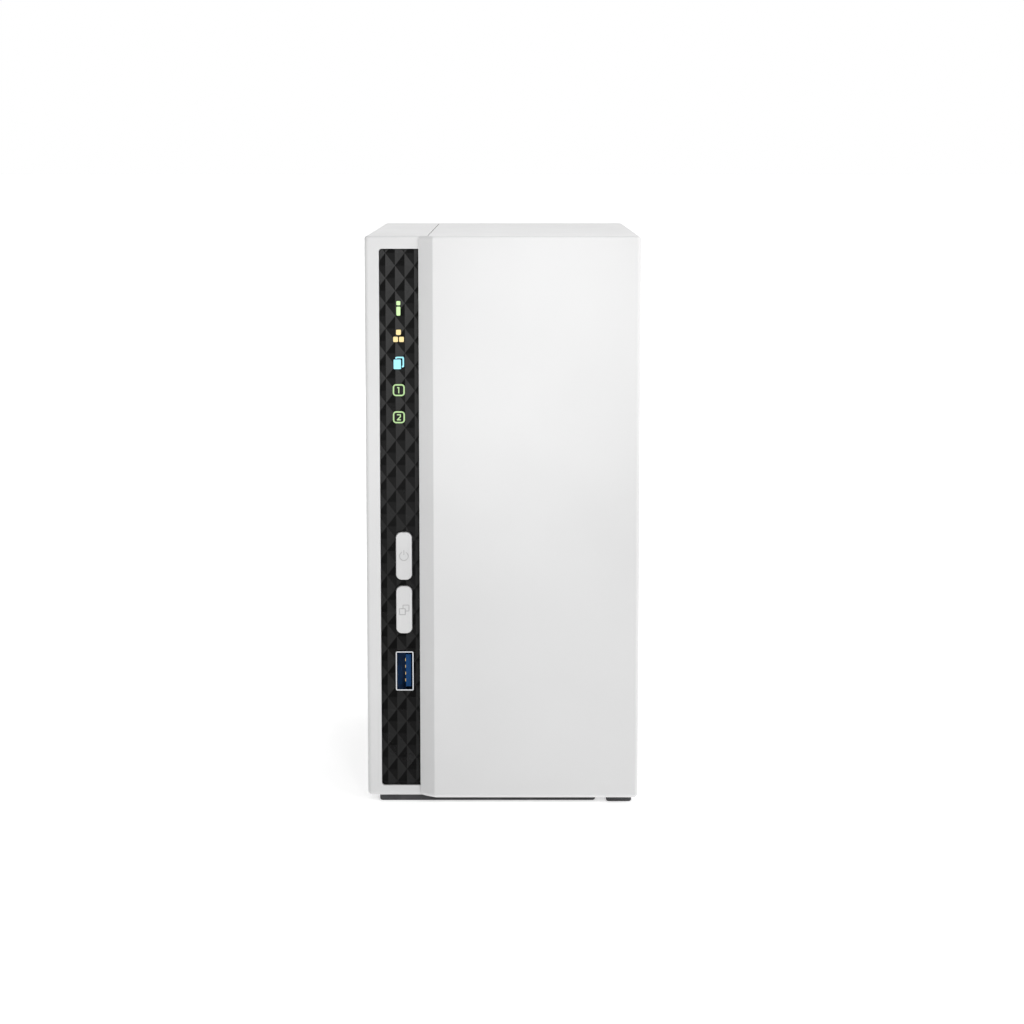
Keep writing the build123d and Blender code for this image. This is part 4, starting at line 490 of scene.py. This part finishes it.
class Board:
    """Small parts on one face of a circuit board. A place is (a, b): Y and Z on a board that faces
    X, and X and Y on one that faces Z. Heights stand up from the face, at level."""

    TOUCH = 0.1 * MM
    PART_GAP = 1.0 * MM
    LEG_REACH = 1.0 * MM
    ROUNDING = 0.06 * MM
    # Length, width and height of each kind of chip, and what its body is made of.
    CHIPS = (
        ((1.6 * MM, 0.8 * MM, 0.45 * MM), EPOXY),
        ((1.6 * MM, 0.8 * MM, 0.8 * MM), CERAMIC),
        ((2.0 * MM, 1.25 * MM, 0.9 * MM), CERAMIC),
    )

    def __init__(self, level, faces, clear_height):
        self.level = level
        self.faces = faces
        self.clear_height = clear_height
        self.pile = Pile()
        self.depsgraph = bpy.context.evaluated_depsgraph_get()
        self.taken = []

    def at(self, a, b, rise):
        if self.faces == "X":
            return Vector((self.level + rise, a, b))
        return Vector((a, b, self.level + rise))

    def free(self, a, b, half_a, half_b):
        """True if nothing stands on this patch of the board, or over it within the clear height."""
        for other_a, other_b, other_half_a, other_half_b in self.taken:
            if abs(a - other_a) < half_a + other_half_a and abs(b - other_b) < half_b + other_half_b:
                return False
        down = self.at(0, 0, 0) - self.at(0, 0, 1)
        ray_cast = bpy.context.scene.ray_cast
        for step_a in (-1, 0, 1):
            for step_b in (-1, 0, 1):
                start = self.at(a + step_a * half_a, b + step_b * half_b, self.clear_height)
                hit, place, *_ = ray_cast(self.depsgraph, start, down, distance=2 * self.clear_height)
                if not hit or abs((start - place).length - self.clear_height) > self.TOUCH:
                    return False
        return True

    def block(self, a, b, half_a, half_b, low, high, material):
        self.pile.block(self.at(a - half_a, b - half_b, low), self.at(a + half_a, b + half_b, high), material)

    def chip(self, a, b, along_a, size, material):
        """A chip resistor or capacitor: a body between two end caps, each on its solder pad."""
        long, short, high = size
        half = (long / 2, short / 2) if along_a else (short / 2, long / 2)
        if not self.free(a, b, half[0] + self.PART_GAP / 2, half[1] + self.PART_GAP / 2):
            return
        self.taken.append((a, b, *half))
        cap = long * 0.2
        cap_half = (cap / 2, short / 2) if along_a else (short / 2, cap / 2)
        pad_half = [h + 0.18 * MM for h in cap_half]
        for side in (-1, 1):
            shift = side * (long / 2 - cap / 2)
            place = (a + shift, b) if along_a else (a, b + shift)
            self.block(*place, *cap_half, 0.0, high, SOLDER)
            self.block(*place, *pad_half, 0.0, 0.08 * MM, SOLDER)
        body_half = (half[0] - cap, half[1]) if along_a else (half[0], half[1] - cap)
        self.block(a, b, *body_half, 0.02 * MM, high - 0.03 * MM, material)

    def leg(self, a, b, half, side, shift, top, along_b):
        """A bent leg beside a package: its shoulder, its foot on the board and what joins them."""
        half_width = 0.13 * MM
        for out, reach, low, high in (
            (0.25 * MM, 0.3 * MM, top * 0.4, top * 0.55),
            (0.65 * MM, 0.35 * MM, 0.0, 0.14 * MM),
            (0.45 * MM, 0.1 * MM, 0.0, top * 0.55),
        ):
            if along_b:
                self.block(a + shift, b + side * (half[1] + out), half_width, reach, low, high, SOLDER)
            else:
                self.block(a + side * (half[0] + out), b + shift, reach, half_width, low, high, SOLDER)

    def package(self, a, b, half, legs, sides):
        """A leaded package: a body, a dot that marks leg one, and legs along two or four sides."""
        top = 1.2 * MM
        pitch = 0.65 * MM
        dot = 0.3 * MM
        margin = self.LEG_REACH + 0.3 * MM
        if not self.free(a, b, half[0] + margin, half[1] + margin):
            return
        self.taken.append((a, b, half[0] + self.LEG_REACH, half[1] + self.LEG_REACH))
        self.block(a, b, *half, 0.12 * MM, top, EPOXY)
        corner = (a - half[0] * 0.7, b - half[1] * 0.7)
        self.block(*corner, dot, dot, top - 0.02 * MM, top + 0.01 * MM, INK)
        for n in range(legs):
            shift = (n - (legs - 1) / 2) * pitch
            for side in (-1, 1):
                self.leg(a, b, half, side, shift, top, False)
                if sides == 4:
                    self.leg(a, b, half, side, shift, top, True)

    def scatter(self, seed, rows, span_a, span_b):
        """Chip resistors and capacitors in short rows, at places where the board is free."""
        dice = random.Random(seed)
        for _ in range(rows):
            a = dice.uniform(*span_a)
            b = dice.uniform(*span_b)
            along_a = dice.random() < 0.5
            size, material = dice.choice(self.CHIPS)
            for n in range(dice.choice((1, 2, 3))):
                step = n * (size[1] + self.PART_GAP)
                place = (a, b + step) if along_a else (a + step, b)
                self.chip(*place, along_a, size, material)

    def finish(self, name):
        self.pile.finish(name, HOUSING, "chip_black", board_looks, self.ROUNDING)


# ---------------------------------------------------------------- fine pieces

# Leaded packages on the mainboard: place (Y, Z) and half sizes in mm, legs a side, sides with legs.
MAIN_PACKAGES = (
    ((6, 56), (5.0, 5.0), 12, 4),
    ((28, 76), (3.5, 3.5), 8, 4),
    ((-20, 76), (2.0, 2.5), 4, 2),
    ((8, 36), (2.0, 2.5), 4, 2),
    ((-8, 140), (3.0, 4.5), 8, 2),
    ((16, 144), (3.0, 4.5), 8, 2),
    ((-44, 112), (2.0, 2.5), 4, 2),
    ((-30, 40), (3.5, 3.5), 8, 4),
)


def make_mainboard_parts():
    low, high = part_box("mainboard")
    rim = 4 * MM
    lowest = 27 * MM
    board = Board(high[0], "X", 15.6 * MM)
    for (y, z), (half_y, half_z), legs, sides in MAIN_PACKAGES:
        board.package(y * MM, z * MM, (half_y * MM, half_z * MM), legs, sides)
    board.scatter(11, 230, (low[1] + rim, high[1] - rim), (lowest, high[2] - rim))
    board.finish("mainboard_small_parts")


def make_backplane_parts():
    low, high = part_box("backplane")
    rim = 3 * MM
    board = Board(high[2], "Z", 8.0 * MM)
    for x, y in ((2, -20), (8, 8), (27, -22)):
        board.package(x * MM, y * MM, (2.0 * MM, 2.5 * MM), 4, 2)
    board.scatter(5, 120, (low[0] + 2 * rim, high[0] - rim), (low[1] + rim, high[1] - rim))
    board.finish("backplane_small_parts")


def make_drive_label(name, lid, seed):
    """A label on a drive's lid: a film with a colour band, ruled fields and a bar pattern, no wording."""
    dice = random.Random(seed)
    film = 0.10 * MM
    half_width = 32 * MM
    bottom, top = 38 * MM, 100 * MM
    radius = 2.0 * MM
    inset = 3 * MM
    rule_width = 0.3 * MM
    cell = 0.8 * MM
    cells = 12
    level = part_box(lid)[1][0] - 0.5 * MM
    middle = middle_of(lid).y
    y0, y1 = middle - half_width, middle + half_width

    pile = Pile()
    corners = []
    for quarter, (side, end) in enumerate(((1, 1), (-1, 1), (-1, -1), (1, -1))):
        centre_y = middle + side * (half_width - radius)
        centre_z = (top if end > 0 else bottom) - end * radius
        for step in range(5):
            turn = math.radians(90 * quarter + 22.5 * step)
            corners.append((level, centre_y + radius * math.cos(turn), centre_z + radius * math.sin(turn)))
    pile.prism(corners, (film, 0, 0), FILM)

    def mark(y_from, y_to, z_from, z_to, material=PRINT):
        low = (level + film - 0.01 * MM, y_from, z_from)
        high = (level + film + 0.02 * MM, y_to, z_to)
        pile.block(low, high, material)

    mark(y0 + inset, y1 - inset, top - 11 * MM, top - 4 * MM, BAND)
    rules = [top - down * MM for down in (15, 24, 33)]
    for rule in rules:
        mark(y0 + inset, y1 - inset, rule, rule + rule_width)
    mark(middle - rule_width / 2, middle + rule_width / 2, rules[-1], rules[0])
    bar = y0 + 4 * MM
    while bar < middle + 8 * MM:
        wide = dice.choice((0.3, 0.6, 0.9)) * MM
        mark(bar, bar + wide, bottom + 6 * MM, bottom + 16 * MM)
        bar += wide + dice.choice((0.4, 0.7)) * MM
    for row in range(cells):
        for column in range(cells):
            if row == 0 or column == 0 or dice.random() < 0.45:
                y = y1 - 14 * MM + column * cell
                z = bottom + 6 * MM + row * cell
                mark(y, y + cell, z, z + cell)
    pile.finish(name, HOUSING, "drive_lid_steel", label_looks)


def make_fan_label():
    """A round label on the fan's hub, with a printed ring and a dot."""
    film = 0.09 * MM
    print_height = 0.02 * MM
    forward = Vector((0, -1, 0))
    hub = middle_of("fan_shaft")
    hub.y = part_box("fan_rotor")[0][1]
    face = hub + film * forward
    pile = Pile()
    pile.disc(hub, forward, 9.5 * MM, film, FILM)
    pile.disc(face, forward, 8.6 * MM, print_height, PRINT, 8.0 * MM)
    pile.disc(face, forward, 3.4 * MM, print_height, BAND)
    pile.finish("fan_hub_label", "fan_wheel", "fan_black", label_looks)


def make_port_marks():
    """Printed signs beside the sockets on the rear panel: plain shapes and numbers."""
    pile = Pile()
    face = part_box("rear_panel")[1][1]
    thickness = 0.03 * MM
    x = -18.5 * MM
    stroke = 0.2
    half_socket = 6.6 * MM

    def bar(z, dx, dz, half_x, half_z):
        """A bar about (dx, dz) from the sign's middle at height z. All but z are in mm."""
        low = (x + (dx - half_x) * MM, face, z + (dz - half_z) * MM)
        high = (x + (dx + half_x) * MM, face + thickness, z + (dz + half_z) * MM)
        pile.block(low, high)

    def ring(z, radius, inner=0.0):
        pile.disc((x, face, z), (0, 1, 0), radius * MM, thickness, 0, inner * MM)

    power = middle_of("power_jack").z
    ring(power, 1.9, 1.5)
    ring(power, 0.6)

    network = middle_of("ethernet_jack").z
    for dx, dz in ((0, 1.2), (-1.3, -1.2), (1.3, -1.2)):
        bar(network, dx, dz, 0.8, 0.7)
    bar(network, 0, 0, 1.5, 0.12)

    usb_low, usb_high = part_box("rear_usb_shells")
    first = usb_low[2] + half_socket
    bar(first, 0, 0, stroke, 1.5)
    bar(first, 0.35, 1.3, 0.35, stroke)

    second = usb_high[2] - half_socket
    for dz in (-1.3, 0, 1.3):
        bar(second, 0, dz, 0.9, stroke)
    bar(second, -0.7, 0.65, stroke, 0.75)
    bar(second, 0.7, -0.65, stroke, 0.75)

    ring(middle_of("reset_button").z, 1.3, 1.0)
    pile.finish("port_marks", HOUSING, "panel_steel", [label_ink])


def make_ethernet_lamps():
    """Two lamps in the face of the Ethernet jack, green at the bottom and amber at the top."""
    lamp_height = 3.2 * MM
    rim = 0.9 * MM
    low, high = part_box("ethernet_jack")
    x0, x1 = high[0] - 2.4 * MM, high[0] - 0.6 * MM
    y0, y1 = high[1] - 0.2 * MM, high[1] + 0.12 * MM
    pile = Pile()
    for material, z0 in enumerate((low[2] + rim, high[2] - rim - lamp_height)):
        pile.block((x0, y0, z0), (x1, y1, z0 + lamp_height), material)
    materials = [looks["guide_green"], looks["guide_amber"]]
    pile.finish("ethernet_lamps", HOUSING, "led_epoxy", materials, 0.15 * MM)


make_mainboard_parts()
make_backplane_parts()
make_drive_label("drive_1_label", "drive_1_lid", 3)
make_drive_label("drive_2_label", "drive_2_lid", 4)
make_fan_label()
make_port_marks()
make_ethernet_lamps()


# ---------------------------------------------------------------- camera, light and floor

CAMERA_PLACE = (0.0031, -0.9864, 0.2177)
CAMERA_PITCH_DOWN = math.radians(7.49)
CAMERA_LENS = 97.88
SENSOR = 36.0

WORLD_LEFT = 0.25
WORLD_RIGHT = 1.24
CEILING_LEVEL = 1.17
FLAG_LEVEL = 0.22
SHADE_LEVEL = 0.68

SPOT_PLACE = (0.12, -0.90, 0.58)
SPOT_TARGET = (0.012, -0.078, 0.160)


def make_camera():
    data = bpy.data.cameras.new("camera")
    data.lens = CAMERA_LENS
    data.sensor_width = SENSOR
    data.clip_start = 0.01
    camera = bpy.data.objects.new("camera", data)
    camera.location = CAMERA_PLACE
    camera.rotation_euler = (math.radians(90) - CAMERA_PITCH_DOWN, 0, 0)
    bpy.context.scene.collection.objects.link(camera)
    bpy.context.scene.camera = camera


def place_lamp(data, place, target):
    """Puts a light at place, turned towards target."""
    lamp = bpy.data.objects.new(data.name, data)
    lamp.location = place
    lamp.rotation_euler = (Vector(target) - Vector(place)).to_track_quat("-Z", "Y").to_euler()
    bpy.context.scene.collection.objects.link(lamp)


def softbox(name, place, target, size, power):
    """A rectangular area light at place that faces target."""
    data = bpy.data.lights.new(name, "AREA")
    data.shape = "RECTANGLE"
    data.size, data.size_y = size
    data.energy = power
    place_lamp(data, place, target)


def spotlight(name, place, target, reach, power):
    """A soft-edged spot that lights a round patch of radius reach about target."""
    data = bpy.data.lights.new(name, "SPOT")
    data.spot_size = 2 * math.atan(reach / (Vector(target) - Vector(place)).length)
    data.spot_blend = 1.0
    data.shadow_soft_size = 0.04
    data.energy = power
    place_lamp(data, place, target)


def make_world():
    """A white studio seen from inside: brighter to the right, with a dark flag in front on the left
    and a pale shade behind on the right. The camera sees it plain white."""
    world = bpy.data.worlds.new("studio")
    world.use_nodes = True
    tree = world.node_tree
    ways = tree.nodes.new("ShaderNodeTexCoord")
    split = tree.nodes.new("ShaderNodeSeparateXYZ")
    tree.links.new(ways.outputs["Generated"], split.inputs["Vector"])
    way = split.outputs

    def band(source, start, end, low, high, change="SMOOTHSTEP"):
        """Maps start..end to low..high."""
        node = tree.nodes.new("ShaderNodeMapRange")
        node.interpolation_type = change
        for socket, value in zip(("From Min", "From Max", "To Min", "To Max"), (start, end, low, high)):
            node.inputs[socket].default_value = value
        tree.links.new(source, node.inputs["Value"])
        return node.outputs["Result"]

    def times(a, b):
        node = tree.nodes.new("ShaderNodeMath")
        node.operation = "MULTIPLY"
        tree.links.new(a, node.inputs[0])
        tree.links.new(b, node.inputs[1])
        return node.outputs["Value"]

    def dimmed(inside, level):
        """1 where inside is 0, and level where it is 1."""
        return band(inside, 0.0, 1.0, 1.0, level, "LINEAR")

    side = band(way["X"], -1.0, 1.0, WORLD_LEFT, WORLD_RIGHT)
    ceiling = band(way["Z"], 0.2, 0.95, 1.0, CEILING_LEVEL)
    flag_across = times(band(way["X"], -0.75, -0.55, 0.0, 1.0), band(way["X"], -0.06, 0.02, 1.0, 0.0))
    flag = times(flag_across, band(way["Y"], -0.5, -0.3, 1.0, 0.0))
    shade = times(band(way["X"], 0.0, 0.5, 0.0, 1.0), band(way["Y"], -0.1, 0.4, 0.0, 1.0))
    dark = times(dimmed(flag, FLAG_LEVEL), dimmed(shade, SHADE_LEVEL))
    level = times(times(side, ceiling), dark)

    seen = tree.nodes.new("ShaderNodeLightPath")
    choose = tree.nodes.new("ShaderNodeMix")
    tree.links.new(seen.outputs["Is Camera Ray"], choose.inputs["Factor"])
    tree.links.new(level, choose.inputs["A"])
    choose.inputs["B"].default_value = 1.0
    background = tree.nodes["Background"]
    background.inputs["Color"].default_value = (1, 1, 1, 1)
    tree.links.new(choose.outputs["Result"], background.inputs["Strength"])
    bpy.context.scene.world = world


def make_lights():
    make_world()
    spotlight("pool", SPOT_PLACE, SPOT_TARGET, 0.070, 8.2)
    spotlight("wash", SPOT_PLACE, SPOT_TARGET, 0.18, 6.1)
    softbox("back", (0.2, 1.5, 0.8), (0, 0, 0.1), (1.2, 0.9), 2.5)


def make_floor():
    """A pale floor that runs out to the horizon in every direction."""
    bpy.ops.mesh.primitive_plane_add(size=40, location=(0, 0, 0))
    floor = bpy.context.object
    floor.name = "floor"
    shader = Shader("floor_paper", grey(0.93), 0.7, specular=0.2)
    shader.tint(0.4, 0.01)
    shader.set("Emission Color", (1, 1, 1, 1))
    shader.set("Emission Strength", 0.47)
    floor.data.materials.append(shader.material)


bpy.context.scene.view_settings.view_transform = "Standard"
make_camera()
make_lights()
make_floor()
